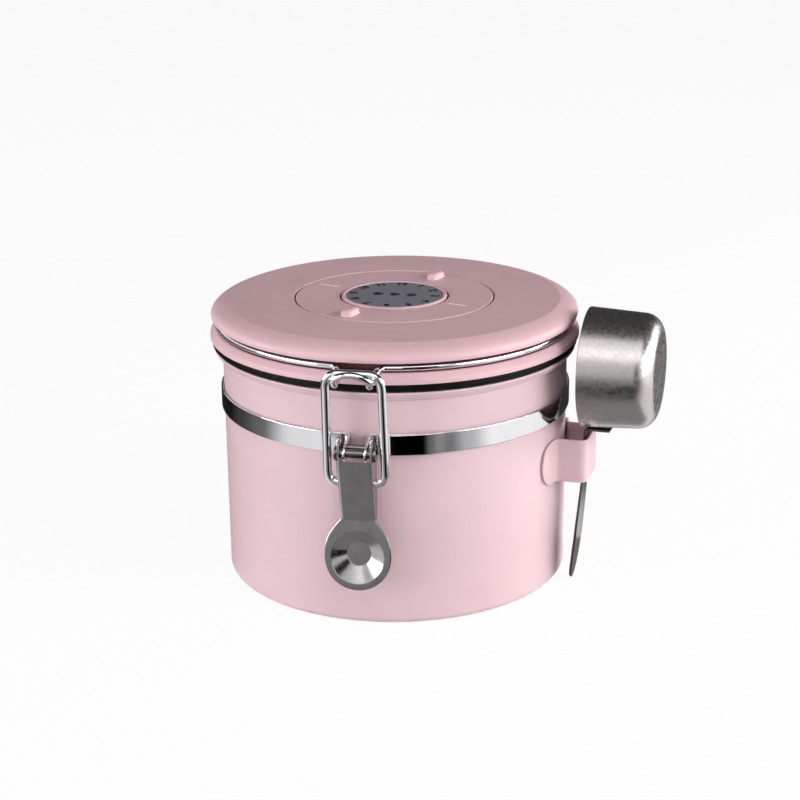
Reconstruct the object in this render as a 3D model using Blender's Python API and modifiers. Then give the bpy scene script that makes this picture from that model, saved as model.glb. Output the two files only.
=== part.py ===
"""A round coffee canister with a wire-bail lid, a toggle latch, a month dial and a scoop on its side.

Metres, +Z up. The origin is the middle of the flat base. The latch is at -Y, the lid's hinge at +Y.
"""
import math

import bmesh
import bpy
from mathutils import Matrix, Vector

# Shared clearances
GAP = 0.0003
OVERRUN = 0.004
INSET = 0.0002
WELD = 0.00001
SMOOTH_ANGLE = math.radians(35)

# Canister body
BODY_RADIUS = 0.0630
BODY_WALL = 0.0008
BASE_CORNER = 0.0024
LIP_TOP = 0.0859
LIP_FLARE = 0.0030
LIP_DROP = 0.0032
BODY_STEPS = 64
LIP_RADIUS = BODY_RADIUS + LIP_FLARE

# Strap round the body and its two ears
STRAP_DROP = 0.0227
STRAP_HEIGHT = 0.0074
STRAP_THICKNESS = 0.0008
STRAP_END_ANGLE = math.radians(9.4)
STRAP_LAP_ANGLE = math.radians(19.0)
STRAP_JOGGLE_ANGLE = math.radians(8.0)
TAB_THICKNESS = 0.0005
TAB_LAP_ANGLE = math.radians(7.5)
EAR_GAP = 0.0064
EAR_THICKNESS = 0.0009
EAR_TIP_RADIUS = 0.0027
EAR_TIP_START = math.radians(62)
STRAP_BASE = LIP_TOP - STRAP_DROP
STRAP_RADIUS = BODY_RADIUS + GAP + STRAP_THICKNESS
LAP_RADIUS = BODY_RADIUS + GAP + TAB_THICKNESS + GAP
EAR_MIDDLE = (EAR_GAP + EAR_THICKNESS) / 2

# Lid shell, from the seal up
SEAL_THICKNESS = 0.0025
SEAL_PROUD = 0.0006
FLANGE_PROUD = 0.0013
FLANGE_THICKNESS = 0.0036
FLANGE_CHAMFER = 0.0018
CAP_INSET = 0.0005
CAP_THICKNESS = 0.0060
CAP_SHOULDER = 0.0073
CAP_WALL = 0.0024
CAP_SKIRT = 0.0030
CAP_EDGE_CHAMFER = 0.0012
PLUG_CLEARANCE = 0.0020
PLUG_DEPTH = 0.0090
PLUG_WALL = 0.0018
LID_STEPS = 64
SEAL_RADIUS = LIP_RADIUS + SEAL_PROUD
FLANGE_RADIUS = LIP_RADIUS + FLANGE_PROUD
CAP_RADIUS = FLANGE_RADIUS - CAP_INSET
PLUG_RADIUS = BODY_RADIUS - BODY_WALL - PLUG_CLEARANCE
SEAL_INNER_RADIUS = PLUG_RADIUS + GAP
SEAL_BASE = LIP_TOP + GAP
FLANGE_BASE = SEAL_BASE + SEAL_THICKNESS + GAP
FLANGE_TOP = FLANGE_BASE + FLANGE_THICKNESS
PLUG_BASE = FLANGE_BASE - PLUG_DEPTH

# Bail wire that carries the lid, its groove, its hook and its hinge
WIRE_RADIUS = 0.0014
WIRE_INSET = 0.0028
WIRE_BEND = 0.0031
GROOVE_BEND = 0.0025
WIRE_REAR_HALF = 0.0122
WIRE_FRONT_HALF = 0.0076
HOOK_HALF = 0.0066
HOOK_LEG_INSET = 0.0007
HOOK_STANDOFF = 0.0093
HOOK_FOOT_RISE = 0.0018
HOOK_RISE = 0.0031
HOOK_LEAN = math.radians(30)
HOOK_BEND = 0.0019
HOOK_SEAT_BEHIND = 0.0024
HOOK_SEAT_AHEAD = 0.0018
HOOK_ARCH_SHARES = (0.9, 0.62, 0.3, 0.0)
HINGE_DROP = 0.0062
HINGE_STANDOFF = 0.0037
KNUCKLE_RADIUS = 0.0031
KNUCKLE_HALF = 0.0075
HINGE_SHEET = 0.0010
HINGE_FOOT_DROP = 0.0016
GROOVE_HEIGHT = 2 * (WIRE_RADIUS + GAP)
WIRE_HEIGHT = FLANGE_TOP + GROOVE_HEIGHT / 2
WIRE_RING_RADIUS = CAP_RADIUS - WIRE_INSET
CORE_RADIUS = WIRE_RING_RADIUS - WIRE_RADIUS - GAP
CAP_BASE = FLANGE_TOP + GROOVE_HEIGHT
LID_TOP = CAP_BASE + CAP_THICKNESS
HOOK_REACH = FLANGE_RADIUS + HOOK_STANDOFF
HINGE_REACH = FLANGE_RADIUS + HINGE_STANDOFF
HINGE_HEIGHT = SEAL_BASE - HINGE_DROP
HINGE_FOOT_HEIGHT = STRAP_BASE - HINGE_FOOT_DROP

# Toggle latch: pins, lever and wire link, in reach from the axis and height above the base
PIN_STANDOFF = 0.0071
PIN_RISE = 0.0028
PIN_RADIUS = 0.0015
PIN_HEAD_RADIUS = 0.0026
PIN_HEAD_THICKNESS = 0.0008
CLAMP_PIN_STANDOFF = 0.0037
CLAMP_PIN_RISE = 0.0037
CLAMP_PIN_RADIUS = 0.00115
CLAMP_HEAD_RADIUS = 0.0016
CLAMP_HEAD_THICKNESS = 0.0004
LEVER_WIDTH = 0.0122
LEVER_SHEET = 0.0010
FLANGE_SHEET = 0.0009
LEVER_TOP_STANDOFF = 0.0039
LEVER_TOP_DROP = 0.0012
LEVER_CREST = 0.0060
CHEEK_TAPER = 0.0042
THUMB_DROP = 0.0375
THUMB_RADIUS = 0.0115
THUMB_TILT = math.radians(-9)
THUMB_NECK = 0.0124
THUMB_SHOULDER_HALF = 0.0073
THUMB_SHOULDER_RISE = 0.0113
THUMB_RIM = 0.0023
THUMB_FLOOR_RADIUS = 0.0043
THUMB_DEPTH = 0.0024
THUMB_CLEARING_INSET = 0.0017
LINK_WIRE_RADIUS = 0.0015
LINK_FOOT_HALF = 0.0099
LINK_HEAD_HALF = 0.0095
LINK_FOOT_INSET = 0.0012
LINK_FOOT_DROP = 0.0109
LINK_HEAD_ROOM = 0.0031
LINK_HEAD_RISE = 0.0003
LINK_HEAD_BEND = 0.0050
LINK_FOOT_BEND = 0.0044
PIN_REACH = STRAP_RADIUS + PIN_STANDOFF
PIN_HEIGHT = STRAP_BASE + PIN_RISE
CLAMP_PIN_REACH = STRAP_RADIUS + CLAMP_PIN_STANDOFF
CLAMP_PIN_HEIGHT = STRAP_BASE + CLAMP_PIN_RISE
LEVER_TOP_REACH = PIN_REACH + LEVER_TOP_STANDOFF
LEVER_TOP_HEIGHT = PIN_HEIGHT - LEVER_TOP_DROP
THUMB_REACH = PIN_REACH
THUMB_HEIGHT = PIN_HEIGHT - THUMB_DROP
THUMB_CLEARING = THUMB_RADIUS - THUMB_CLEARING_INSET
LINK_FOOT_REACH = PIN_REACH - LINK_FOOT_INSET
LINK_FOOT_HEIGHT = PIN_HEIGHT - LINK_FOOT_DROP
LINK_HEAD_REACH = HOOK_REACH - LINK_HEAD_ROOM
LINK_HEAD_HEIGHT = WIRE_HEIGHT + LINK_HEAD_RISE
HOOK_SEAT_HEIGHT = LINK_HEAD_HEIGHT - LINK_WIRE_RADIUS - 2 * GAP - WIRE_RADIUS
HOOK_FOOT_HEIGHT = HOOK_SEAT_HEIGHT + HOOK_FOOT_RISE

# Month dial in the lid
DIAL_RADIUS = 0.0361
DIAL_THICKNESS = 0.0022
DIAL_LIP = 0.0009
DIAL_FLOOR = 0.0018
DIAL_VENT_COUNT = 4
DIAL_VENT_RADIUS = 0.0012
VENT_TURN_SHARE = 0.5
BEZEL_RADIUS = 0.0192
BEZEL_RISE = 0.0005
BEZEL_RIM = 0.0014
BEZEL_OVERLAP = 0.0024
LABEL_THICKNESS = 0.0004
LABEL_RECESS = 0.0009
NUB_LENGTH = 0.0075
NUB_WIDTH = 0.0040
NUB_RISE = 0.0022
NUB_BEVEL = 0.0018
NUB_EDGE = 0.0066
NUB_AZIMUTH = math.radians(-21)
MARK_DEPTH = 0.0005
MARK_WIDTH = 0.0010
MARK_LENGTH = 0.0085
ARROW_HEAD = 0.0030
ARROW_EDGE = 0.0066
LINE_EDGE = 0.0078
STEM_RADIUS = 0.0030
STEM_SHORTFALL = 0.0001
SCREW_RADIUS = 0.0014
SCREW_HEAD_RADIUS = 0.0042
SCREW_HEAD_THICKNESS = 0.0016
SCREW_HEAD_CROWN = 0.0032
DIAL_STEPS = 48
NUB_REACH = DIAL_RADIUS - NUB_EDGE
LINE_REACH = DIAL_RADIUS - LINE_EDGE
MARK_REACH = BEZEL_RADIUS + ARROW_EDGE
DIAL_BASE = LID_TOP - DIAL_THICKNESS
POCKET_FLOOR = DIAL_BASE - GAP
POCKET_BASE = POCKET_FLOOR - DIAL_FLOOR

# One-way valve in the middle of the plug
VALVE_RADIUS = 0.0110
VALVE_WALL = 0.0016
VALVE_FLANGE = 0.0030
VALVE_FLANGE_THICKNESS = 0.0010
VALVE_WEB = 0.0012
VALVE_CHAMBER = 0.0033
VALVE_CUP = 0.0023
VALVE_STEM_RADIUS = 0.0012
FLAP_THICKNESS = 0.0007
VENT_COUNT = 6
VENT_RADIUS = 0.0010
VENT_REACH = 0.0050
PAD_THICKNESS = 0.0012
COVER_THICKNESS = 0.0008
COVER_HOLE_RADIUS = 0.0007
COVER_ROWS = ((6, 0.0030), (10, 0.0064))
HOLE_TURN_SHARE = 0.4
VALVE_STEPS = 24

# Scoop and its holder, a little forward of +X
HOLDER_AZIMUTH = math.radians(-6)
HOLDER_SHEET = 0.0008
HOLDER_BASE = 0.0396
HOLDER_HEIGHT = 0.0161
HOLDER_STANDOFF = 0.0109
HOLDER_HALF = 0.0096
HOLDER_BEND = 0.0030
HOLDER_ROOT_BEND = 0.0020
WING_ANGLE = math.radians(18.6)
WING_END_RADIUS = 0.0070
CUP_SETBACK = 0.0022
CUP_RISE = 0.0032
CUP_MOUTH_RADIUS = 0.0216
CUP_TAPER = 0.0013
CUP_DEPTH = 0.02625
CUP_CORNER = 0.0068
CUP_WALL = 0.0008
SCOOP_LEAN = math.radians(-3.5)
HANDLE_SHEET = 0.0009
HANDLE_TAB = 0.0088
HANDLE_BEND = 0.0018
HANDLE_NECK_HALF = 0.0042
HANDLE_WIDE_HALF = 0.0063
HANDLE_TIP_HALF = 0.0046
HANDLE_END_HALF = 0.0029
HANDLE_POINT_HALF = 0.0012
HANDLE_TIP_STANDOFF = 0.0055
HANDLE_TIP_HEIGHT = 0.0007
HOLDER_TOP = HOLDER_BASE + HOLDER_HEIGHT
HOLDER_REACH = BODY_RADIUS + HOLDER_STANDOFF
CUP_REACH = HOLDER_REACH - CUP_SETBACK
CUP_HEIGHT = HOLDER_TOP + CUP_RISE + CUP_MOUTH_RADIUS
CUP_END_RADIUS = CUP_MOUTH_RADIUS - CUP_TAPER
HANDLE_TIP_REACH = BODY_RADIUS + HANDLE_TIP_STANDOFF

COATED_PINK = ("coated_pink", (0.80, 0.60, 0.62), 0.42, 0.0)
PLASTIC_PINK = ("plastic_pink", (0.74, 0.52, 0.55), 0.50, 0.0)
LABEL_GREY = ("label_grey", (0.22, 0.22, 0.26), 0.45, 0.2)
SEAL_BLACK = ("seal_black", (0.01, 0.01, 0.01), 0.45, 0.0)
BRIGHT_STEEL = ("bright_steel", (0.72, 0.72, 0.74), 0.12, 1.0)
SATIN_STEEL = ("satin_steel", (0.50, 0.50, 0.52), 0.32, 1.0)
BRUSHED_STEEL = ("brushed_steel", (0.58, 0.55, 0.54), 0.38, 1.0)
VALVE_WHITE = ("valve_white", (0.80, 0.80, 0.78), 0.50, 0.0)
FILTER_FELT = ("filter_felt", (0.70, 0.66, 0.58), 0.90, 0.0)

AXIS_OUT_OF_FRONT = -math.pi / 2
AXIS_OUT_OF_BACK = math.pi / 2


def clear_scene():
    """Remove every object of the open file."""
    for thing in list(bpy.data.objects):
        bpy.data.objects.remove(thing, do_unlink=True)


def collection(name):
    """Make a collection in the scene."""
    group = bpy.data.collections.new(name)
    bpy.context.scene.collection.children.link(group)
    return group


clear_scene()
PARTS = collection("coffee_canister")
CUTTERS = collection("cutters")


def material(look):
    """Make a look once, or fetch the one that is there."""
    name, colour, roughness, metallic = look
    found = bpy.data.materials.get(name)
    if found:
        return found
    made = bpy.data.materials.new(name)
    made.use_nodes = True
    shader = made.node_tree.nodes["Principled BSDF"]
    shader.inputs["Base Color"].default_value = (*colour, 1.0)
    shader.inputs["Roughness"].default_value = roughness
    shader.inputs["Metallic"].default_value = metallic
    made.diffuse_color = (*colour, 1.0)
    return made


def mesh_object(name, mesh, group=PARTS):
    """Wrap a mesh in an object of one of the two collections."""
    thing = bpy.data.objects.new(name, mesh)
    group.objects.link(thing)
    return thing


def dress(thing, look):
    """Give a part its material and smooth its round faces."""
    thing.data.materials.clear()
    thing.data.materials.append(material(look))
    if thing.type == "MESH":
        thing.data.shade_smooth()
        thing.data.set_sharp_from_angle(angle=SMOOTH_ANGLE)
    return thing


def turned(name, profile, steps, group=PARTS):
    """Turn a profile of (radius, height) points about Z; it runs down its outer side."""
    mesh = bpy.data.meshes.new(name)
    points = [(radius, 0, height) for radius, height in profile]
    edges = [(i, i + 1) for i in range(len(points) - 1)]
    if profile[0][0] > 0:
        edges.append((len(points) - 1, 0))
    mesh.from_pydata(points, edges, [])
    thing = mesh_object(name, mesh, group)
    screw = thing.modifiers.new("turn", "SCREW")
    screw.steps = steps
    screw.render_steps = steps
    screw.use_merge_vertices = True
    screw.merge_threshold = WELD
    return thing


def as_mesh(thing, group=PARTS):
    """Swap a curve for the closed mesh it stands for, in the same place."""
    graph = bpy.context.evaluated_depsgraph_get()
    mesh = bpy.data.meshes.new_from_object(thing.evaluated_get(graph))
    work = bmesh.new()
    work.from_mesh(mesh)
    bmesh.ops.remove_doubles(work, verts=work.verts, dist=WELD)
    bmesh.ops.recalc_face_normals(work, faces=work.faces)
    work.to_mesh(mesh)
    work.free()
    name = thing.name
    place = thing.matrix_world.copy()
    bpy.data.objects.remove(thing, do_unlink=True)
    solid = mesh_object(name, mesh, group)
    solid.matrix_world = place
    return solid


def extruded(name, outline, thickness, place=(0, 0, 0), turn=(0, 0, 0), group=PARTS):
    """Extrude a flat closed outline, half of the thickness to each side."""
    curve = bpy.data.curves.new(name, "CURVE")
    curve.dimensions = "2D"
    curve.fill_mode = "BOTH"
    curve.extrude = thickness / 2
    spline = curve.splines.new("POLY")
    spline.points.add(len(outline) - 1)
    for point, (across, up) in zip(spline.points, outline):
        point.co = (across, up, 0, 1)
    spline.use_cyclic_u = True
    thing = bpy.data.objects.new(name, curve)
    thing.location = place
    thing.rotation_euler = turn
    group.objects.link(thing)
    bpy.context.view_layer.update()
    return as_mesh(thing, group)


def side_view(name, outline, thickness, outward, across=0.0, group=PARTS):
    """Extrude an outline of (reach, height) points that faces the azimuth given, about the axis."""
    offset = Matrix.Rotation(outward, 3, "Z") @ Vector((0, across, 0))
    return extruded(name, outline, thickness, offset, (math.pi / 2, 0, outward), group)


def wire(name, path, radius, closed=False):
    """A round wire along a path."""
    curve = bpy.data.curves.new(name, "CURVE")
    curve.dimensions = "3D"
    curve.bevel_depth = radius
    curve.bevel_resolution = 2
    curve.use_fill_caps = True
    spline = curve.splines.new("POLY")
    spline.points.add(len(path) - 1)
    for point, place in zip(spline.points, path):
        point.co = (*place, 1)
    spline.use_cyclic_u = closed
    thing = bpy.data.objects.new(name, curve)
    PARTS.objects.link(thing)
    return thing


def rounded(corners, bends, steps=4, closed=False):
    """Round the corners of a path; each bend is the radius at its corner, zero to keep it sharp."""
    path = []
    count = len(corners)
    for index, (corner, bend) in enumerate(zip(corners, bends)):
        corner = Vector(corner)
        at_end = not closed and index in (0, count - 1)
        if at_end or bend == 0:
            path.append(corner)
            continue
        before = (Vector(corners[index - 1]) - corner).normalized()
        after = (Vector(corners[(index + 1) % count]) - corner).normalized()
        half_turn = (math.pi - before.angle(after)) / 2
        reach = bend * math.tan(half_turn)
        start = corner + before * reach
        end = corner + after * reach
        for step in range(steps + 1):
            share = step / steps
            path.append(start.lerp(corner, share).lerp(corner.lerp(end, share), share))
    return path


def ribbon(path, thickness):
    """The outline of a strip of sheet that follows a flat path, with mitred corners."""
    path = [Vector(point) for point in path]
    left = []
    right = []
    for index, point in enumerate(path):
        into = (point - path[index - 1]).normalized() if index else None
        out = (path[index + 1] - point).normalized() if index + 1 < len(path) else None
        into = into or out
        out = out or into
        along = (into + out).normalized()
        normal = Vector((-along.y, along.x))
        offset = normal * (thickness / 2 / along.dot(into))
        left.append(point + offset)
        right.append(point - offset)
    return left + right[::-1]


def arc(centre, radii, start, end, steps):
    """Points on an ellipse from one angle to another."""
    points = []
    for step in range(steps + 1):
        angle = start + (end - start) * step / steps
        points.append((centre[0] + radii[0] * math.cos(angle), centre[1] + radii[1] * math.sin(angle)))
    return points


def move_to(thing, group):
    """Keep an object in one collection only."""
    for owner in list(thing.users_collection):
        owner.objects.unlink(thing)
    group.objects.link(thing)


def round_bar(name, radius, length, place, turn=(0, 0, 0), sides=16):
    """A cylinder used as a cutter."""
    bpy.ops.mesh.primitive_cylinder_add(vertices=sides, radius=radius, depth=length,
                                        location=place, rotation=turn)
    bar = bpy.context.active_object
    bar.name = name
    move_to(bar, CUTTERS)
    return bar


def shape(thing, cutter, operation="DIFFERENCE"):
    """Cut, join or trim a part with another shape, which is then hidden."""
    step = thing.modifiers.new(operation.lower(), "BOOLEAN")
    step.operation = operation
    step.object = cutter
    step.solver = "EXACT"
    cutter.hide_render = True
    cutter.display_type = "WIRE"
    move_to(cutter, CUTTERS)
    return thing


def riveted_pin(name, reach, height, radius, half_length, head_radius, head_thickness):
    """A pin along X with a head at each end."""
    head_base = half_length - head_thickness
    profile = [(0, half_length), (head_radius, half_length), (head_radius, head_base),
               (radius, head_base), (radius, -head_base), (head_radius, -head_base),
               (head_radius, -half_length), (0, -half_length)]
    pin = turned(name, profile, 16)
    pin.location = (0, -reach, height)
    pin.rotation_euler = (0, math.pi / 2, 0)
    return pin


def empty(name, place, turn=(0, 0, 0)):
    """A guide that moving pieces hang on."""
    guide = bpy.data.objects.new(name, None)
    guide.location = place
    guide.rotation_euler = turn
    PARTS.objects.link(guide)
    return guide


def hang(guide, things):
    """Parent pieces to a guide and leave them where they are."""
    bpy.context.view_layer.update()
    for thing in things:
        thing.parent = guide
        thing.matrix_parent_inverse = guide.matrix_world.inverted()


def make_body():
    """The drawn steel can, open at the top, with a flared lip."""
    inner = BODY_RADIUS - BODY_WALL
    neck = LIP_TOP - LIP_DROP
    corner_inside = BASE_CORNER - BODY_WALL
    centre = (BODY_RADIUS - BASE_CORNER, BASE_CORNER)
    flare_in = LIP_RADIUS - inner - BODY_WALL / 2
    flare_out = LIP_RADIUS - BODY_RADIUS
    profile = [(0, BODY_WALL)]
    profile += arc(centre, (corner_inside, corner_inside), -math.pi / 2, 0, 3)
    profile += arc((inner + flare_in, neck), (flare_in, LIP_DROP), math.pi, math.pi / 2, 3)
    profile += [(LIP_RADIUS, LIP_TOP - BODY_WALL / 4)]
    profile += arc((LIP_RADIUS, neck), (flare_out, LIP_DROP - BODY_WALL), math.pi / 2, math.pi, 3)
    profile += arc(centre, (BASE_CORNER, BASE_CORNER), 0, -math.pi / 2, 4)
    profile += [(0, 0)]
    return dress(turned("canister_body", profile, BODY_STEPS), COATED_PINK)


def polar(radius, angle):
    """A point at an angle from the latch, positive towards +X."""
    return Vector((radius * math.sin(angle), -radius * math.cos(angle)))


def ear(name, across):
    """One ear of the latch: a plate that tapers from the strap to the lever's pin."""
    root = BODY_RADIUS + GAP + TAB_THICKNESS / 2
    low = STRAP_BASE + INSET
    high = STRAP_BASE + STRAP_HEIGHT - INSET
    shoulder = STRAP_RADIUS + EAR_THICKNESS
    tip = arc((PIN_REACH, PIN_HEIGHT), (EAR_TIP_RADIUS, EAR_TIP_RADIUS), EAR_TIP_START, -math.pi / 2, 6)
    outline = [(root, low), (root, high), (shoulder, high)] + tip
    plate = side_view(name, outline, EAR_THICKNESS, AXIS_OUT_OF_FRONT, across)
    return plate


def bore_ear(thing):
    """Drill an ear for the lever's pin and the clamp pin."""
    for label, reach, height, radius in (("pin", PIN_REACH, PIN_HEIGHT, PIN_RADIUS),
                                         ("clamp", CLAMP_PIN_REACH, CLAMP_PIN_HEIGHT, CLAMP_PIN_RADIUS)):
        drill = round_bar(f"{thing.name}_{label}_drill", radius + GAP, EAR_GAP + 2 * OVERRUN,
                          (0, -reach, height), (0, math.pi / 2, 0))
        shape(thing, drill)


def make_strap():
    """The steel strap: one end is the left ear, the other laps over the tab."""
    start = STRAP_END_ANGLE
    end = 2 * math.pi - math.asin(EAR_MIDDLE / STRAP_RADIUS)
    count = BODY_STEPS
    path = []
    for step in range(count + 1):
        angle = start + (end - start) * step / count
        rise = min(1.0, max(0.0, (STRAP_LAP_ANGLE + STRAP_JOGGLE_ANGLE - angle) / STRAP_JOGGLE_ANGLE))
        rise = rise * rise * (3 - 2 * rise)
        inside = BODY_RADIUS + GAP + (LAP_RADIUS - BODY_RADIUS - GAP) * rise
        path.append(polar(inside + STRAP_THICKNESS / 2, angle))
    middle = STRAP_BASE + STRAP_HEIGHT / 2
    strap = extruded("strap", ribbon(path, STRAP_THICKNESS), STRAP_HEIGHT, (0, 0, middle))
    shape(strap, ear("left_ear", -EAR_MIDDLE), "UNION")
    bore_ear(strap)
    return dress(strap, BRIGHT_STEEL)


def make_strap_tab():
    """The tab under the strap's lapped end, with the right ear."""
    radius = BODY_RADIUS + GAP + TAB_THICKNESS / 2
    start = math.asin(EAR_MIDDLE / radius)
    end = STRAP_END_ANGLE + TAB_LAP_ANGLE
    steps = 6
    path = [polar(radius, start + (end - start) * step / steps) for step in range(steps + 1)]
    middle = STRAP_BASE + STRAP_HEIGHT / 2
    tab = extruded("strap_tab", ribbon(path, TAB_THICKNESS), STRAP_HEIGHT, (0, 0, middle))
    shape(tab, ear("right_ear", EAR_MIDDLE), "UNION")
    bore_ear(tab)
    return dress(tab, BRIGHT_STEEL)


def make_pins():
    """The lever's pin, and the clamp pin that draws the two ears together."""
    lever_half = LEVER_WIDTH / 2 + GAP + PIN_HEAD_THICKNESS
    clamp_half = EAR_GAP / 2 + EAR_THICKNESS + GAP + CLAMP_HEAD_THICKNESS
    lever_pin = riveted_pin("lever_pin", PIN_REACH, PIN_HEIGHT, PIN_RADIUS, lever_half,
                            PIN_HEAD_RADIUS, PIN_HEAD_THICKNESS)
    clamp_pin = riveted_pin("clamp_pin", CLAMP_PIN_REACH, CLAMP_PIN_HEIGHT, CLAMP_PIN_RADIUS, clamp_half,
                            CLAMP_HEAD_RADIUS, CLAMP_HEAD_THICKNESS)
    return [dress(lever_pin, SATIN_STEEL), dress(clamp_pin, SATIN_STEEL)]


def thumb_point(along, out=0.0):
    """A point (reach, height) on the thumb rest's plane."""
    lean = (math.sin(THUMB_TILT), math.cos(THUMB_TILT))
    return (THUMB_REACH + along * lean[0] + out * lean[1], THUMB_HEIGHT + along * lean[1] - out * lean[0])


def shoulder_outline():
    """The thumb rest's plate: out from the neck to its shoulders, then along tangents to its circle."""
    half = LEVER_WIDTH / 2
    far = math.hypot(THUMB_SHOULDER_HALF, THUMB_SHOULDER_RISE)
    turn = math.atan2(THUMB_SHOULDER_RISE, THUMB_SHOULDER_HALF) - math.acos(min(1.0, THUMB_RADIUS / far))
    touch = (THUMB_RADIUS * math.cos(turn), THUMB_RADIUS * math.sin(turn))
    right = [touch, (THUMB_SHOULDER_HALF, THUMB_SHOULDER_RISE), (half, THUMB_NECK)]
    return right + [(-across, along) for across, along in right[::-1]]


def make_lever():
    """The latch lever: a bent front plate, two cheeks and a dished thumb rest."""
    middle = -LEVER_SHEET / 2
    neck_reach, neck_height = thumb_point(THUMB_NECK, middle)
    facing = (math.pi / 2 + THUMB_TILT, 0, 0)
    corners = [(LEVER_TOP_REACH, LEVER_TOP_HEIGHT), (neck_reach, neck_height),
               thumb_point(THUMB_RADIUS / 2, middle)]
    path = rounded(corners, (0, 4 * LEVER_SHEET, 0), 3)
    lever = side_view("latch_lever", ribbon(path, LEVER_SHEET - 2 * INSET), LEVER_WIDTH, AXIS_OUT_OF_FRONT)
    plate_reach, plate_height = thumb_point(0, middle)
    shoulders = extruded("thumb_shoulders", shoulder_outline(), LEVER_SHEET - 4 * INSET,
                         (0, -plate_reach, plate_height), facing)
    shape(lever, shoulders, "UNION")
    clearing = round_bar("thumb_clearing", THUMB_CLEARING, THUMB_RADIUS,
                         (0, -THUMB_REACH, THUMB_HEIGHT), facing, 32)
    shape(lever, clearing)
    back = STRAP_RADIUS + 2 * EAR_THICKNESS
    crest = PIN_HEIGHT + LEVER_CREST
    foot = neck_height + FLANGE_SHEET
    cheek_outline = [(LEVER_TOP_REACH, LEVER_TOP_HEIGHT),
                     (PIN_REACH + PIN_HEAD_RADIUS / 2, crest),
                     (PIN_REACH - PIN_RADIUS, crest),
                     (back + EAR_THICKNESS, PIN_HEIGHT + LEVER_CREST / 2),
                     (back, PIN_HEIGHT),
                     (back - INSET, foot + CHEEK_TAPER),
                     (neck_reach - LEVER_SHEET / 2, foot),
                     (neck_reach, foot)]
    inset = (LEVER_WIDTH - FLANGE_SHEET) / 2 - INSET
    for side, label in ((-1, "left"), (1, "right")):
        cheek = side_view(f"{label}_cheek", cheek_outline, FLANGE_SHEET, AXIS_OUT_OF_FRONT, side * inset)
        shape(lever, cheek, "UNION")
    rim = THUMB_RADIUS - THUMB_RIM
    sheet = LEVER_SHEET
    dish = [(0, -THUMB_DEPTH), (THUMB_FLOOR_RADIUS, -THUMB_DEPTH), (rim, 0), (THUMB_RADIUS - sheet / 4, 0),
            (THUMB_RADIUS, -sheet / 4), (THUMB_RADIUS, -sheet), (rim - sheet / 4, -sheet),
            (THUMB_FLOOR_RADIUS, -THUMB_DEPTH - sheet), (0, -THUMB_DEPTH - sheet)]
    thumb = turned("thumb_rest", dish, 32)
    thumb.location = (0, -THUMB_REACH, THUMB_HEIGHT)
    thumb.rotation_euler = facing
    shape(lever, thumb, "UNION")
    for label, reach, height, radius in (("pin", PIN_REACH, PIN_HEIGHT, PIN_RADIUS),
                                         ("link", LINK_FOOT_REACH, LINK_FOOT_HEIGHT, LINK_WIRE_RADIUS)):
        drill = round_bar(f"lever_{label}_drill", radius + GAP, LEVER_WIDTH + 2 * OVERRUN,
                          (0, -reach, height), (0, math.pi / 2, 0))
        shape(lever, drill)
    return dress(lever, SATIN_STEEL)


def make_link():
    """The closed wire loop from the lever to the hook."""
    foot = (-LINK_FOOT_REACH, LINK_FOOT_HEIGHT)
    head = (-LINK_HEAD_REACH, LINK_HEAD_HEIGHT)
    corners = [(-LINK_FOOT_HALF, *foot), (LINK_FOOT_HALF, *foot),
               (LINK_HEAD_HALF, *head), (-LINK_HEAD_HALF, *head)]
    bends = (LINK_FOOT_BEND, LINK_FOOT_BEND, LINK_HEAD_BEND, LINK_HEAD_BEND)
    path = rounded(corners, bends, 4, closed=True)
    return dress(wire("latch_link", path, LINK_WIRE_RADIUS, closed=True), BRIGHT_STEEL)


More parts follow.
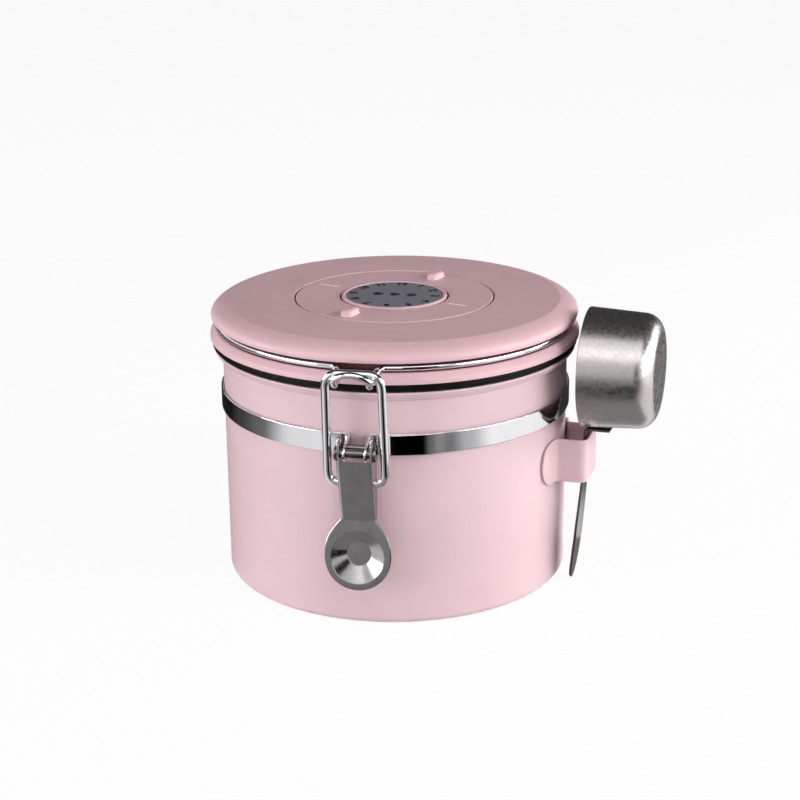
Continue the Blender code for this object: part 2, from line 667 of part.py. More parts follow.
def make_lid_wire():
    """The bail wire: from the hinge, round the lid's groove, to the hook in front."""
    rear = math.asin(WIRE_REAR_HALF / WIRE_RING_RADIUS)
    front = math.asin(WIRE_FRONT_HALF / WIRE_RING_RADIUS)
    rear_depth = WIRE_RING_RADIUS * math.cos(rear)
    front_depth = WIRE_RING_RADIUS * math.cos(front)
    lead = 2 * WIRE_BEND / WIRE_RING_RADIUS
    from_hinge = [(WIRE_RADIUS, HINGE_REACH, HINGE_HEIGHT), (WIRE_REAR_HALF, HINGE_REACH, HINGE_HEIGHT),
                  (WIRE_REAR_HALF, HINGE_REACH, WIRE_HEIGHT), (WIRE_REAR_HALF, rear_depth, WIRE_HEIGHT)]
    ring = []
    first = rear + lead
    last = math.pi - front - lead
    steps = 16
    for step in range(steps + 1):
        angle = first + (last - first) * step / steps
        ring.append((WIRE_RING_RADIUS * math.sin(angle), WIRE_RING_RADIUS * math.cos(angle), WIRE_HEIGHT))
    leg = HOOK_HALF - HOOK_LEG_INSET
    ease = WIRE_RADIUS / 4
    to_hook = [(WIRE_FRONT_HALF, -front_depth, WIRE_HEIGHT),
               ((WIRE_FRONT_HALF + leg) / 2, -FLANGE_RADIUS - ease, WIRE_HEIGHT - ease),
               (leg, HOOK_SEAT_BEHIND - LINK_HEAD_REACH, HOOK_SEAT_HEIGHT),
               (leg, -LINK_HEAD_REACH - HOOK_SEAT_AHEAD, HOOK_SEAT_HEIGHT)]
    corners = from_hinge + ring + to_hook
    bends = [0, WIRE_BEND, WIRE_BEND, GROOVE_BEND] + [0] * len(ring)
    bends += [GROOVE_BEND, WIRE_BEND, HOOK_BEND, HOOK_BEND]
    arch_radius = (HOOK_HALF ** 2 + HOOK_RISE ** 2) / (2 * HOOK_RISE)
    spread = math.asin(HOOK_HALF / arch_radius)
    arch = []
    for share in HOOK_ARCH_SHARES:
        angle = spread * share
        rise = HOOK_RISE - arch_radius * (1 - math.cos(angle))
        arch.append((arch_radius * math.sin(angle), -HOOK_REACH - rise * math.sin(HOOK_LEAN),
                     HOOK_FOOT_HEIGHT + rise * math.cos(HOOK_LEAN)))
    half = rounded(corners + arch, bends + [0] * len(arch), 3)
    other = [Vector((-point.x, point.y, point.z)) for point in half[-2::-1]]
    return dress(wire("lid_wire", half + other, WIRE_RADIUS), BRIGHT_STEEL)


def make_hinge_bracket():
    """The rear bracket: a plate on the strap that ends in a rolled knuckle."""
    inside = STRAP_RADIUS + GAP
    middle = inside + HINGE_SHEET / 2
    lean_start = HINGE_HEIGHT - 2 * KNUCKLE_RADIUS
    path = [(middle, HINGE_FOOT_HEIGHT), (middle, lean_start),
            (HINGE_REACH - KNUCKLE_RADIUS + HINGE_SHEET / 2, HINGE_HEIGHT)]
    path = rounded(path, (0, KNUCKLE_RADIUS, 0), 3)
    bracket = side_view("hinge_bracket", ribbon(path, HINGE_SHEET), 2 * KNUCKLE_HALF - 2 * INSET,
                        AXIS_OUT_OF_BACK)
    knuckle = turned("knuckle", [(0, KNUCKLE_HALF), (KNUCKLE_RADIUS, KNUCKLE_HALF),
                                 (KNUCKLE_RADIUS, -KNUCKLE_HALF), (0, -KNUCKLE_HALF)], 20)
    knuckle.location = (0, HINGE_REACH, HINGE_HEIGHT)
    knuckle.rotation_euler = (0, math.pi / 2, 0)
    shape(bracket, knuckle, "UNION")
    shape(bracket, round_bar("knuckle_drill", WIRE_RADIUS + GAP, 2 * (KNUCKLE_HALF + OVERRUN),
                             (0, HINGE_REACH, HINGE_HEIGHT), (0, math.pi / 2, 0)))
    return dress(bracket, BRIGHT_STEEL)


def make_lid_shells():
    """The lid's cap and its base, with the wire's groove between them, and the seal."""
    pocket = DIAL_RADIUS + GAP
    shoulder_height = CAP_THICKNESS - CAP_EDGE_CHAMFER - GAP
    hub = CORE_RADIUS - CAP_SKIRT
    cap_floor = LID_TOP - CAP_WALL
    cap = [(pocket, LID_TOP)]
    cap += arc((CAP_RADIUS - CAP_SHOULDER, LID_TOP - shoulder_height), (CAP_SHOULDER, shoulder_height),
               math.pi / 2, 0, 4)
    cap += [(CAP_RADIUS - CAP_EDGE_CHAMFER, CAP_BASE), (CORE_RADIUS, CAP_BASE),
            (CORE_RADIUS, FLANGE_TOP + GAP), (hub, FLANGE_TOP + GAP), (hub, cap_floor),
            (pocket + CAP_WALL, cap_floor), (pocket + CAP_WALL, POCKET_BASE),
            (STEM_RADIUS + GAP, POCKET_BASE), (STEM_RADIUS + GAP, POCKET_FLOOR), (pocket, POCKET_FLOOR)]
    lid_cap = turned("lid_cap", cap, LID_STEPS)
    vent_reach = (DIAL_RADIUS + BEZEL_RADIUS) / 2
    for index in range(DIAL_VENT_COUNT):
        angle = 2 * math.pi * (index + VENT_TURN_SHARE) / DIAL_VENT_COUNT
        place = (vent_reach * math.cos(angle), vent_reach * math.sin(angle), POCKET_BASE)
        shape(lid_cap, round_bar(f"cap_vent_{index}", DIAL_VENT_RADIUS, 2 * OVERRUN, place, sides=10))
    inner = PLUG_RADIUS - PLUG_WALL
    seat = VALVE_RADIUS + GAP
    base = [(inner, FLANGE_TOP), (FLANGE_RADIUS - FLANGE_CHAMFER, FLANGE_TOP),
            (FLANGE_RADIUS, FLANGE_TOP - FLANGE_CHAMFER), (FLANGE_RADIUS, FLANGE_BASE),
            (PLUG_RADIUS, FLANGE_BASE), (PLUG_RADIUS, PLUG_BASE + PLUG_WALL / 2),
            (PLUG_RADIUS - PLUG_WALL / 2, PLUG_BASE), (seat, PLUG_BASE), (seat, PLUG_BASE + PLUG_WALL),
            (inner, PLUG_BASE + PLUG_WALL)]
    lid_base = turned("lid_base", base, LID_STEPS)
    edge = SEAL_THICKNESS / 4
    seal = [(SEAL_INNER_RADIUS, SEAL_BASE + SEAL_THICKNESS), (SEAL_RADIUS, SEAL_BASE + SEAL_THICKNESS),
            (SEAL_RADIUS, SEAL_BASE + 2 * edge), (SEAL_RADIUS - edge, SEAL_BASE),
            (SEAL_INNER_RADIUS, SEAL_BASE)]
    gasket = turned("gasket", seal, LID_STEPS)
    return [dress(lid_cap, PLASTIC_PINK), dress(lid_base, PLASTIC_PINK), dress(gasket, SEAL_BLACK)]


def nub(name, angle):
    """One raised finger grip of the dial."""
    place = Vector((*polar(NUB_REACH, angle), LID_TOP))
    bpy.ops.mesh.primitive_cube_add(size=1, location=place, rotation=(0, 0, angle))
    grip = bpy.context.active_object
    grip.name = name
    grip.scale = (NUB_WIDTH, NUB_LENGTH, 2 * NUB_RISE)
    bpy.ops.object.transform_apply(location=False, rotation=False, scale=True)
    bevel = grip.modifiers.new("round", "BEVEL")
    bevel.width = NUB_BEVEL
    bevel.segments = 2
    return grip


def make_dial_ring():
    """The turning ring with two grips, an arrow and a plain line."""
    hole = BEZEL_RADIUS + GAP
    lip = BEZEL_RADIUS - BEZEL_OVERLAP + GAP
    edge = GAP
    ring = [(hole, LID_TOP), (DIAL_RADIUS - edge, LID_TOP), (DIAL_RADIUS, LID_TOP - edge),
            (DIAL_RADIUS, DIAL_BASE), (lip, DIAL_BASE), (lip, DIAL_BASE + DIAL_LIP),
            (hole, DIAL_BASE + DIAL_LIP)]
    dial = turned("dial_ring", ring, DIAL_STEPS)
    shape(dial, nub("near_nub", NUB_AZIMUTH), "UNION")
    shape(dial, nub("far_nub", NUB_AZIMUTH + math.pi), "UNION")
    half = MARK_LENGTH / 2
    thin = MARK_WIDTH / 2
    shaft_end = ARROW_HEAD - half
    arrow = [(-thin, half), (-thin, shaft_end), (-ARROW_HEAD / 2, shaft_end), (0, -half),
             (ARROW_HEAD / 2, shaft_end), (thin, shaft_end), (thin, half)]
    line = [(-thin, half), (-thin, -half), (thin, -half), (thin, half)]
    for label, outline, reach, angle in (("arrow", arrow, MARK_REACH, NUB_AZIMUTH + math.pi / 2),
                                         ("line", line, LINE_REACH, NUB_AZIMUTH - math.pi / 2)):
        place = Vector((*polar(reach, angle), LID_TOP))
        mark = extruded(f"{label}_cut", outline, 2 * MARK_DEPTH, place, (0, 0, angle + math.pi))
        shape(dial, mark)
    return dress(dial, PLASTIC_PINK)


def make_dial_centre():
    """The fixed bezel, its label, and the screw that holds bezel and ring to the cap."""
    top = LID_TOP + BEZEL_RISE
    recess = BEZEL_RADIUS - BEZEL_RIM
    floor = top - LABEL_RECESS
    stem_top = DIAL_BASE
    overlap_base = DIAL_BASE + DIAL_LIP + GAP
    shank = BEZEL_RADIUS - BEZEL_OVERLAP
    hole = SCREW_RADIUS + GAP
    hole_top = overlap_base - GAP
    bezel = [(0, floor), (recess, floor), (recess, top), (BEZEL_RADIUS - GAP, top),
             (BEZEL_RADIUS, top - GAP), (BEZEL_RADIUS, overlap_base), (shank, overlap_base),
             (shank, stem_top), (STEM_RADIUS, stem_top), (STEM_RADIUS, POCKET_BASE + STEM_SHORTFALL),
             (hole, POCKET_BASE + STEM_SHORTFALL), (hole, hole_top), (0, hole_top)]
    month_bezel = turned("month_bezel", bezel, 36)
    label_base = floor + GAP
    label_radius = recess - GAP
    label = [(0, label_base + LABEL_THICKNESS), (label_radius, label_base + LABEL_THICKNESS),
             (label_radius, label_base), (0, label_base)]
    month_label = turned("month_label", label, 36)
    head_top = POCKET_BASE - GAP
    head_base = head_top - SCREW_HEAD_THICKNESS
    screw = [(0, hole_top - GAP), (SCREW_RADIUS, hole_top - GAP), (SCREW_RADIUS, head_top),
             (SCREW_HEAD_RADIUS, head_top), (SCREW_HEAD_RADIUS, head_top - SCREW_HEAD_THICKNESS / 2),
             (SCREW_HEAD_CROWN, head_base), (0, head_base)]
    dial_screw = turned("dial_screw", screw, 20)
    return [dress(month_bezel, PLASTIC_PINK), dress(month_label, LABEL_GREY), dress(dial_screw, BRIGHT_STEEL)]


def make_valve():
    """The one-way valve: housing, rubber flap, felt pad and perforated cover."""
    bore = VALVE_RADIUS - VALVE_WALL
    flange_top = PLUG_BASE - GAP
    flange_base = flange_top - VALVE_FLANGE_THICKNESS
    web_base = flange_base + VALVE_CHAMBER
    web_top = web_base + VALVE_WEB
    stem_hole = VALVE_STEM_RADIUS + GAP
    housing = [(bore, web_top + VALVE_CUP), (VALVE_RADIUS, web_top + VALVE_CUP), (VALVE_RADIUS, flange_top),
               (VALVE_RADIUS + VALVE_FLANGE, flange_top), (VALVE_RADIUS + VALVE_FLANGE, flange_base),
               (bore, flange_base), (bore, web_base), (stem_hole, web_base), (stem_hole, web_top),
               (bore, web_top)]
    valve_housing = turned("valve_housing", housing, VALVE_STEPS)
    for index in range(VENT_COUNT):
        angle = 2 * math.pi * index / VENT_COUNT
        place = (VENT_REACH * math.cos(angle), VENT_REACH * math.sin(angle), web_base)
        shape(valve_housing, round_bar(f"vent_{index}", VENT_RADIUS, OVERRUN, place, sides=8))
    flap_base = web_top + GAP
    flap_radius = bore - 2 * GAP
    barb_top = web_base - GAP
    barb_radius = stem_hole + GAP
    flap = [(0, flap_base + FLAP_THICKNESS), (flap_radius, flap_base + FLAP_THICKNESS),
            (flap_radius, flap_base), (VALVE_STEM_RADIUS, flap_base), (VALVE_STEM_RADIUS, barb_top),
            (barb_radius, barb_top), (barb_radius, barb_top - GAP), (VALVE_STEM_RADIUS, barb_top - 3 * GAP),
            (0, barb_top - 3 * GAP)]
    valve_flap = turned("valve_flap", flap, VALVE_STEPS)
    cover_top = flange_base + GAP
    pad_base = cover_top + GAP
    disc = bore - GAP
    pad = [(0, pad_base + PAD_THICKNESS), (disc, pad_base + PAD_THICKNESS), (disc, pad_base), (0, pad_base)]
    filter_pad = turned("filter_pad", pad, VALVE_STEPS)
    cover = [(0, cover_top), (disc, cover_top), (disc, cover_top - COVER_THICKNESS),
             (0, cover_top - COVER_THICKNESS)]
    filter_cover = turned("filter_cover", cover, VALVE_STEPS)
    for count, reach in COVER_ROWS:
        for index in range(count):
            angle = 2 * math.pi * (index + HOLE_TURN_SHARE) / count
            place = (reach * math.cos(angle), reach * math.sin(angle), cover_top)
            shape(filter_cover, round_bar(f"cover_hole_{count}_{index}", COVER_HOLE_RADIUS, OVERRUN,
                                          place, sides=6))
    return [dress(valve_housing, VALVE_WHITE), dress(valve_flap, SEAL_BLACK),
            dress(filter_pad, FILTER_FELT), dress(filter_cover, VALVE_WHITE)]


def make_holder():
    """The scoop's holder: an open channel with two rounded wings that hug the body."""
    radius = BODY_RADIUS + GAP + HOLDER_SHEET / 2
    root_angle = math.asin(HOLDER_HALF / radius)
    wing_steps = 4
    wing = [Vector((radius * math.cos(angle), -radius * math.sin(angle)))
            for angle in (WING_ANGLE + (root_angle - WING_ANGLE) * step / wing_steps
                          for step in range(wing_steps + 1))]
    outer = Vector((HOLDER_REACH, -HOLDER_HALF))
    half = wing + [outer]
    half_bends = [0] * wing_steps + [HOLDER_ROOT_BEND, HOLDER_BEND]
    mirrored = [Vector((point.x, -point.y)) for point in half[::-1]]
    corners = [point.to_3d() for point in half + mirrored]
    path = [point.to_2d() for point in rounded(corners, half_bends + half_bends[::-1], 4)]
    height = HOLDER_TOP - HOLDER_BASE
    middle = (HOLDER_TOP + HOLDER_BASE) / 2
    holder = extruded("scoop_holder", ribbon(path, HOLDER_SHEET), height, (0, 0, middle),
                      (0, 0, HOLDER_AZIMUTH))
    reach = BODY_RADIUS * math.sin(WING_ANGLE)
    half_height = height / 2
    corners = [Vector((across, up, 0)) for across, up in
               ((-reach, -half_height), (reach, -half_height), (reach, half_height), (-reach, half_height))]
    outline = [point.to_2d() for point in rounded(corners, [WING_END_RADIUS] * 4, 5, closed=True)]
    direction = Matrix.Rotation(HOLDER_AZIMUTH, 3, "Z")
    trim = extruded("wing_trim", outline, BODY_RADIUS, direction @ Vector((BODY_RADIUS, 0, middle)),
                    (math.pi / 2, 0, math.pi / 2 + HOLDER_AZIMUTH))
    shape(holder, trim, "INTERSECT")
    return dress(holder, COATED_PINK)


def make_scoop(guide):
    """The scoop, in its guide's frame: +X is outward, and the height is counted from the cup's axis."""
    inner_corner = CUP_CORNER - CUP_WALL
    corner_start = CUP_CORNER - CUP_DEPTH
    centre = (CUP_END_RADIUS - CUP_CORNER, corner_start)
    profile = [(0, CUP_WALL - CUP_DEPTH)]
    profile += arc(centre, (inner_corner, inner_corner), -math.pi / 2, 0, 3)
    profile += [(CUP_MOUTH_RADIUS - CUP_WALL, 0), (CUP_MOUTH_RADIUS, 0)]
    profile += arc(centre, (CUP_CORNER, CUP_CORNER), 0, -math.pi / 2, 4)
    profile += [(0, -CUP_DEPTH)]
    cup = dress(turned("scoop_cup", profile, 36), BRUSHED_STEEL)
    cup.location = (CUP_REACH, 0, 0)
    cup.rotation_euler = (0, -math.pi / 2, 0)
    tab_middle = -CUP_MOUTH_RADIUS - GAP - HANDLE_SHEET / 2
    tip = HANDLE_TIP_HEIGHT - CUP_HEIGHT
    drop = tab_middle - tip
    bend_reach = HOLDER_REACH - HOLDER_SHEET / 2 - 2 * GAP - HANDLE_SHEET / 2
    curl = bend_reach - HANDLE_TIP_REACH
    path = [(bend_reach + HANDLE_TAB, 0, tab_middle), (bend_reach, 0, tab_middle)]
    curve_shares = ((0.16, 0.03), (0.37, 0.13), (0.55, 0.33), (0.72, 0.53), (0.87, 0.77), (1.0, 1.0))
    path += [(bend_reach - curl * in_share, 0, tab_middle - drop * down_share)
             for down_share, in_share in curve_shares]
    bends = [0, HANDLE_BEND] + [0] * len(curve_shares)
    flat = [Vector((point.x, point.z)) for point in rounded(path, bends, 3)]
    handle = extruded("scoop_handle", ribbon(flat, HANDLE_SHEET), 2 * HANDLE_WIDE_HALF, (0, 0, 0),
                      (math.pi / 2, 0, 0))
    width_shares = ((0.0, HANDLE_NECK_HALF), (0.30, HANDLE_NECK_HALF), (0.62, HANDLE_WIDE_HALF),
                    (0.80, HANDLE_WIDE_HALF), (0.95, HANDLE_TIP_HALF), (0.985, HANDLE_END_HALF))
    right = [(half, tab_middle - drop * down_share) for down_share, half in width_shares]
    right[0] = (HANDLE_NECK_HALF, tab_middle + HANDLE_SHEET)
    right.append((HANDLE_POINT_HALF, tip))
    outline = right + [(-across, up) for across, up in right[::-1]]
    trim = extruded("handle_trim", outline, 2 * HOLDER_REACH, (HOLDER_REACH, 0, 0),
                    (math.pi / 2, 0, math.pi / 2))
    shape(handle, trim, "INTERSECT")
    dress(handle, BRUSHED_STEEL)
    for thing in (cup, handle, trim):
        thing.parent = guide
    return [cup, handle]


def build():
    """Make every piece and hang the moving ones on their axes."""
    make_body()
    make_strap()
    make_strap_tab()
    make_pins()
    make_hinge_bracket()
    make_holder()
    bail_axis = empty("lid_hinge_axis", (0, HINGE_REACH, HINGE_HEIGHT))
    lid_axis = empty("lid_turn_axis", (0, 0, FLANGE_TOP))
    dial_axis = empty("dial_turn_axis", (0, 0, LID_TOP))
    lever_axis = empty("lever_axis", (0, -PIN_REACH, PIN_HEIGHT))
    link_axis = empty("link_axis", (0, -LINK_FOOT_REACH, LINK_FOOT_HEIGHT))
    scoop_axis = empty("scoop_axis", (0, 0, CUP_HEIGHT), (SCOOP_LEAN, 0, HOLDER_AZIMUTH))
    hang(bail_axis, [make_lid_wire(), lid_axis])
    hang(lid_axis, make_lid_shells() + make_dial_centre() + make_valve() + [dial_axis])
    hang(dial_axis, [make_dial_ring()])
    hang(lever_axis, [make_lever(), link_axis])
    hang(link_axis, [make_link()])
    make_scoop(scoop_axis)


build()
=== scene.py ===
"""Looks for the coffee canister: fine meshes over the CAD frame, procedural materials, studio and camera."""

import math

import bmesh
import bpy
from mathutils import Matrix, Vector


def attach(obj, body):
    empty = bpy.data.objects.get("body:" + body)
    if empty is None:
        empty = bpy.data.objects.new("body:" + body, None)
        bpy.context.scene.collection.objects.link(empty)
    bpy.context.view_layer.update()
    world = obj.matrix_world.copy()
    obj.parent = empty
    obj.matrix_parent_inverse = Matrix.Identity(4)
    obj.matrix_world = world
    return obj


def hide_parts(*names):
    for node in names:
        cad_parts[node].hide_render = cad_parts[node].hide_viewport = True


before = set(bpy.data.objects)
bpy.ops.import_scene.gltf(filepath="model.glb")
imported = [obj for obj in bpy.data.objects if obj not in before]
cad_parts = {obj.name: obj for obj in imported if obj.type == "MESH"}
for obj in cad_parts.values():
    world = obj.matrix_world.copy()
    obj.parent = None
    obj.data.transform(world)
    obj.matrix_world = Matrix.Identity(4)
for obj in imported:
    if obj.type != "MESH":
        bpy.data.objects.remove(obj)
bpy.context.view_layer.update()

# Sizes in metres, as in the CAD source
GAP = 0.0003
TAU = 2 * math.pi
BODY_RADIUS, BODY_WALL, BASE_CORNER = 0.0630, 0.0008, 0.0024
LIP_TOP, LIP_RADIUS, LIP_DROP, LIP_FLARE, LIP_BEND = 0.0859, 0.0660, 0.0032, 0.0014, 0.0020
STRAP_BASE, STRAP_HEIGHT, STRAP_THICKNESS = 0.0632, 0.0074, 0.0008
STRAP_START, STRAP_LAP, STRAP_JOGGLE = math.radians(9.4), math.radians(19), math.radians(8)
TAB_THICKNESS, TAB_LAP = 0.0005, math.radians(7.5)
EAR_GAP, EAR_THICKNESS, EAR_TIP_RADIUS = 0.0064, 0.0009, 0.0027
PIN_REACH, PIN_HEIGHT, PIN_RADIUS, PIN_HEAD, PIN_HEAD_RADIUS = 0.0712, 0.0660, 0.0015, 0.0008, 0.0026
CLAMP_REACH, CLAMP_HEIGHT, CLAMP_RADIUS, CLAMP_HEAD = 0.0678, 0.0669, 0.00115, 0.0004
CLAMP_HEAD_RADIUS = 0.0016
LEVER_WIDTH, LEVER_SHEET, LEVER_BEND, LEVER_SINK = 0.0122, 0.0009, 0.0015, 0.0010
LEVER_TOP, LEVER_CREST, LEVER_CURVE = (0.0751, 0.0648), 0.0060, 0.0050
CHEEK_TAPER, CHEEK_BROW, CHEEK_BACK = 0.0042, 0.0013, 0.0009
BROW_BEND, CHEEK_BEND, BACK_BEND = 0.0020, 0.0025, 0.0030
THUMB_CENTRE, THUMB_RADIUS, THUMB_TILT = (0.0712, 0.0285), 0.0117, math.radians(-9)
THUMB_NECK, THUMB_SIDE, THUMB_FILLET, THUMB_BEND = 0.0130, 0.0030, 0.0012, 0.0060
THUMB_SHOULDER = ((0.0074, 0.0115), (0.0088, 0.0097), (0.0104, 0.0072), (0.0115, 0.0036))
DISH_RADIUS, DISH_DROP, DISH_FLOOR, DISH_LIFT, DISH_DEPTH = 0.0093, 0.0003, 0.0043, 0.0009, 0.0024
DISH_RIM, DISH_BEND = 0.0008, 0.0011
LINK_WIRE, LINK_FOOT_HALF, LINK_HEAD_HALF = 0.0015, 0.0099, 0.0095
LINK_FOOT, LINK_HEAD = (0.0700, 0.0551), (0.0735, 0.0946)
LINK_FOOT_BEND, LINK_HEAD_BEND = 0.0044, 0.0050
SEAL_THICKNESS, SEAL_INNER, SEAL_RADIUS, SEAL_BEND = 0.0025, 0.0605, 0.0666, 0.0010
FLANGE_RADIUS, FLANGE_THICKNESS, FLANGE_CHAMFER, FLANGE_EDGE = 0.0673, 0.0036, 0.0018, 0.0005
CAP_RADIUS, CAP_THICKNESS, CAP_CREASE, CAP_SLOPE = 0.0668, 0.0060, 0.0603, math.radians(15)
CAP_WALL, CAP_SKIRT, CAP_LOWER_EDGE = 0.0024, 0.0030, 0.0010
PLUG_RADIUS, PLUG_DEPTH, PLUG_WALL = 0.0602, 0.0090, 0.0018
DIAL_RADIUS, DIAL_THICKNESS, DIAL_LIP, DIAL_FLOOR = 0.0361, 0.0022, 0.0009, 0.0018
DIAL_EASE, DIAL_GROOVE = 0.0004, 0.0004
BEZEL_RADIUS, BEZEL_RISE, BEZEL_RIM, BEZEL_OVERLAP = 0.0192, 0.0005, 0.0014, 0.0024
LABEL_THICKNESS, LABEL_RECESS = 0.0004, 0.0009
NUB_LENGTH, NUB_WIDTH, NUB_RISE, NUB_REACH = 0.0084, 0.0045, 0.0022, 0.0295
NUB_AZIMUTH = math.radians(-21)
ARROW_REACH, LINE_REACH, ARROW_HEAD = 0.0258, 0.0283, 0.0026
MARK_LENGTH, MARK_WIDTH, MARK_DEPTH = 0.0085, 0.0013, 0.0003
MONTH_REACH, MONTH_SIZE, MONTH_WEIGHT = 0.0149, 0.0042, 0.0002
BEAN_STEP, BEAN_HALF, BEAN_WIDTH, BEAN_CURL, BEAN_TURN = 0.0062, 0.0019, 0.00145, 0.00030, math.radians(-24)
SEAM_HALF, SEAM_CURL, PRINT_THICKNESS = 0.00022, 0.00034, 0.00006
STEM_RADIUS, STEM_SHORTFALL, SCREW_RADIUS, VALVE_RADIUS = 0.0030, 0.0001, 0.0014, 0.0110
WIRE_RADIUS, WIRE_DRAWN, WIRE_RING, WIRE_BEND, GROOVE_BEND = 0.0014, 0.0012, 0.0640, 0.0031, 0.0025
WIRE_REAR_HALF, WIRE_FRONT_HALF = 0.0122, 0.0076
HOOK_HALF, HOOK_LEG, HOOK_REACH, HOOK_SEAT, HOOK_FOOT = 0.0066, 0.0059, 0.0766, 0.0911, 0.0929
HOOK_RISE, HOOK_LEAN, HOOK_BEND = 0.0031, math.radians(30), 0.0019
HOOK_SEAT_BEHIND, HOOK_SEAT_AHEAD = 0.0024, 0.0018
HINGE_REACH, HINGE_HEIGHT, KNUCKLE_RADIUS, KNUCKLE_HALF = 0.0710, 0.0800, 0.0031, 0.0075
HINGE_SHEET, HINGE_FOOT = 0.0010, 0.0616
HOLDER_AZIMUTH, HOLDER_SHEET, HOLDER_BASE, HOLDER_TOP = math.radians(-6), 0.0008, 0.0396, 0.0557
HOLDER_REACH, HOLDER_HALF, HOLDER_BEND, HOLDER_ROOT_BEND = 0.0739, 0.0096, 0.0030, 0.0020
WING_ANGLE, WING_END = math.radians(18.6), 0.0070
CUP_REACH, CUP_HEIGHT, CUP_MOUTH, CUP_END = 0.0717, 0.0805, 0.0216, 0.0203
CUP_DEPTH, CUP_CORNER, CUP_WALL, SCOOP_LEAN = 0.02625, 0.0068, 0.0008, math.radians(-3.5)
HANDLE_SHEET, HANDLE_TAB, HANDLE_BEND = 0.0009, 0.0088, 0.0009
HANDLE_NECK, HANDLE_WIDE, HANDLE_TIP = 0.0042, 0.0063, 0.0046
HANDLE_TIP_REACH, HANDLE_TIP_HEIGHT = 0.0685, 0.0007

# The handle by its share of the way down: the share of its curl, and its half width
HANDLE_CURL = ((0.0, 0.0), (0.16, 0.03), (0.37, 0.13), (0.55, 0.33), (0.72, 0.53), (0.87, 0.77), (1.0, 1.0))
HANDLE_WIDTHS = ((0.0, HANDLE_NECK), (0.30, HANDLE_NECK), (0.62, HANDLE_WIDE), (0.80, HANDLE_WIDE),
                 (0.92, HANDLE_TIP * 1.12), (0.97, HANDLE_TIP * 0.80), (1.0, HANDLE_TIP * 0.22))

# Small radii that soften edges, from a hair's breadth up; HOLD keeps the flats beside them flat
HAIR, CRISP, SOFT, EASED, MILD, ROUND, BROAD = 0.0001, 0.0002, 0.0003, 0.0004, 0.0005, 0.0008, 0.0009
SHEET_EDGE, TAB_EDGE, CHEEK_EDGE, HOLDER_EDGE, HANDLE_EDGE = 0.00022, 0.00018, 0.00025, 0.00028, 0.00035
MARK_EDGE, NODE_EDGE, LEAST = 0.00005, 0.00012, 0.00004
HOLD = 0.00014
FULL_REACH, FOLD_SHARE = 0.49, 0.7
SHARP = math.radians(32)

# Levels and radii that follow
SEAL_BASE = LIP_TOP + GAP
FLANGE_BASE = SEAL_BASE + SEAL_THICKNESS + GAP
FLANGE_TOP = FLANGE_BASE + FLANGE_THICKNESS
GROOVE = 2 * (WIRE_RADIUS + GAP)
WIRE_HEIGHT = FLANGE_TOP + GROOVE / 2
CAP_BASE = FLANGE_TOP + GROOVE
LID_TOP = CAP_BASE + CAP_THICKNESS
CORE_RADIUS = WIRE_RING - WIRE_RADIUS - GAP
PLUG_BASE = FLANGE_BASE - PLUG_DEPTH
DIAL_BASE = LID_TOP - DIAL_THICKNESS
POCKET_FLOOR = DIAL_BASE - GAP
POCKET_BASE = POCKET_FLOOR - DIAL_FLOOR
STRAP_RADIUS = BODY_RADIUS + GAP + STRAP_THICKNESS
STRAP_MIDDLE = STRAP_BASE + STRAP_HEIGHT / 2
LAP_RADIUS = BODY_RADIUS + 2 * GAP + TAB_THICKNESS
EAR_MIDDLE = (EAR_GAP + EAR_THICKNESS) / 2

# Camera, fitted to the photograph's concentric rims
CAMERA_PLACE = Vector((0.1231, -0.6333, 0.2750))
CAMERA_AIM = Vector((-0.1788, 0.9325, -0.3139))
CAMERA_ROLL = math.radians(-0.592)
CAMERA_LENS, CAMERA_SENSOR = 82.33, 36.0
CAMERA_AZIMUTH = math.radians(11)

# The studio: where the lamps aim, the floor's half size and glow, and the grey of soft light all round
AIM, FLOOR_HALF, FLOOR_GLOW, SOFT_LIGHT, HORIZON = (0, 0, 0.05), 6.0, 0.93, 0.13, 0.8

# Lamps: azimuth from the camera in degrees, reach, height, size and power
LAMPS = (("softbox_left", -70, 1.1, 0.24, (0.9, 0.40), 7.8),
         ("softbox_right", 62, 1.1, 0.40, (0.9, 0.46), 8.2),
         ("softbox_side", 106, 1.1, 0.24, (0.7, 0.40), 7.0),
         ("softbox_front", -4, 0.70, 1.04, (1.4, 0.9), 5.0))

# What polished metal sees on the floor, by azimuth in degrees from the camera
FLOOR_GREYS = ((-180, 0.03), (-124, 0.01), (-108, 0.05), (-86, 0.14), (-62, 0.80), (-40, 0.85), (-26, 0.30),
               (-8, 0.20), (-1, 0.0), (17, 0.0), (28, 0.14), (42, 0.50), (58, 1.0), (88, 1.0),
               (106, 0.9), (122, 0.03), (180, 0.03))

# Reach and height of the room that the large cards make
ROOM, CEILING = 2.5, 1.6

# Level cards: lowest and highest x, lowest and highest y, height and greys
LEVEL_CARDS = (("card_floor", (-ROOM, ROOM), (-ROOM, ROOM), 0.0009, FLOOR_GREYS),
               ("card_under_cup", (0.05, 0.14), (-0.10, 0.02), 0.0015, ((0, 0.30),)),
               ("card_before_latch", (-0.03, 0.05), (-0.15, -0.08), 0.0015, ((0, 0.28),)),
               ("card_ceiling", (-ROOM, ROOM), (-1.2, ROOM), CEILING, ((0, 0.05),)))

# Upright cards: reach, lower and upper edge, azimuths from the camera and grey
UPRIGHT_CARDS = (("card_near", 0.26, 0.0010, 0.095, (-44, -13), 0.34),
                 ("card_hook", 0.35, 0.09, 0.245, (3, 24), 0.0))


def add_object(name, mesh):
    """Put a mesh in the scene."""
    thing = bpy.data.objects.new(name, mesh)
    bpy.context.scene.collection.objects.link(thing)
    return thing


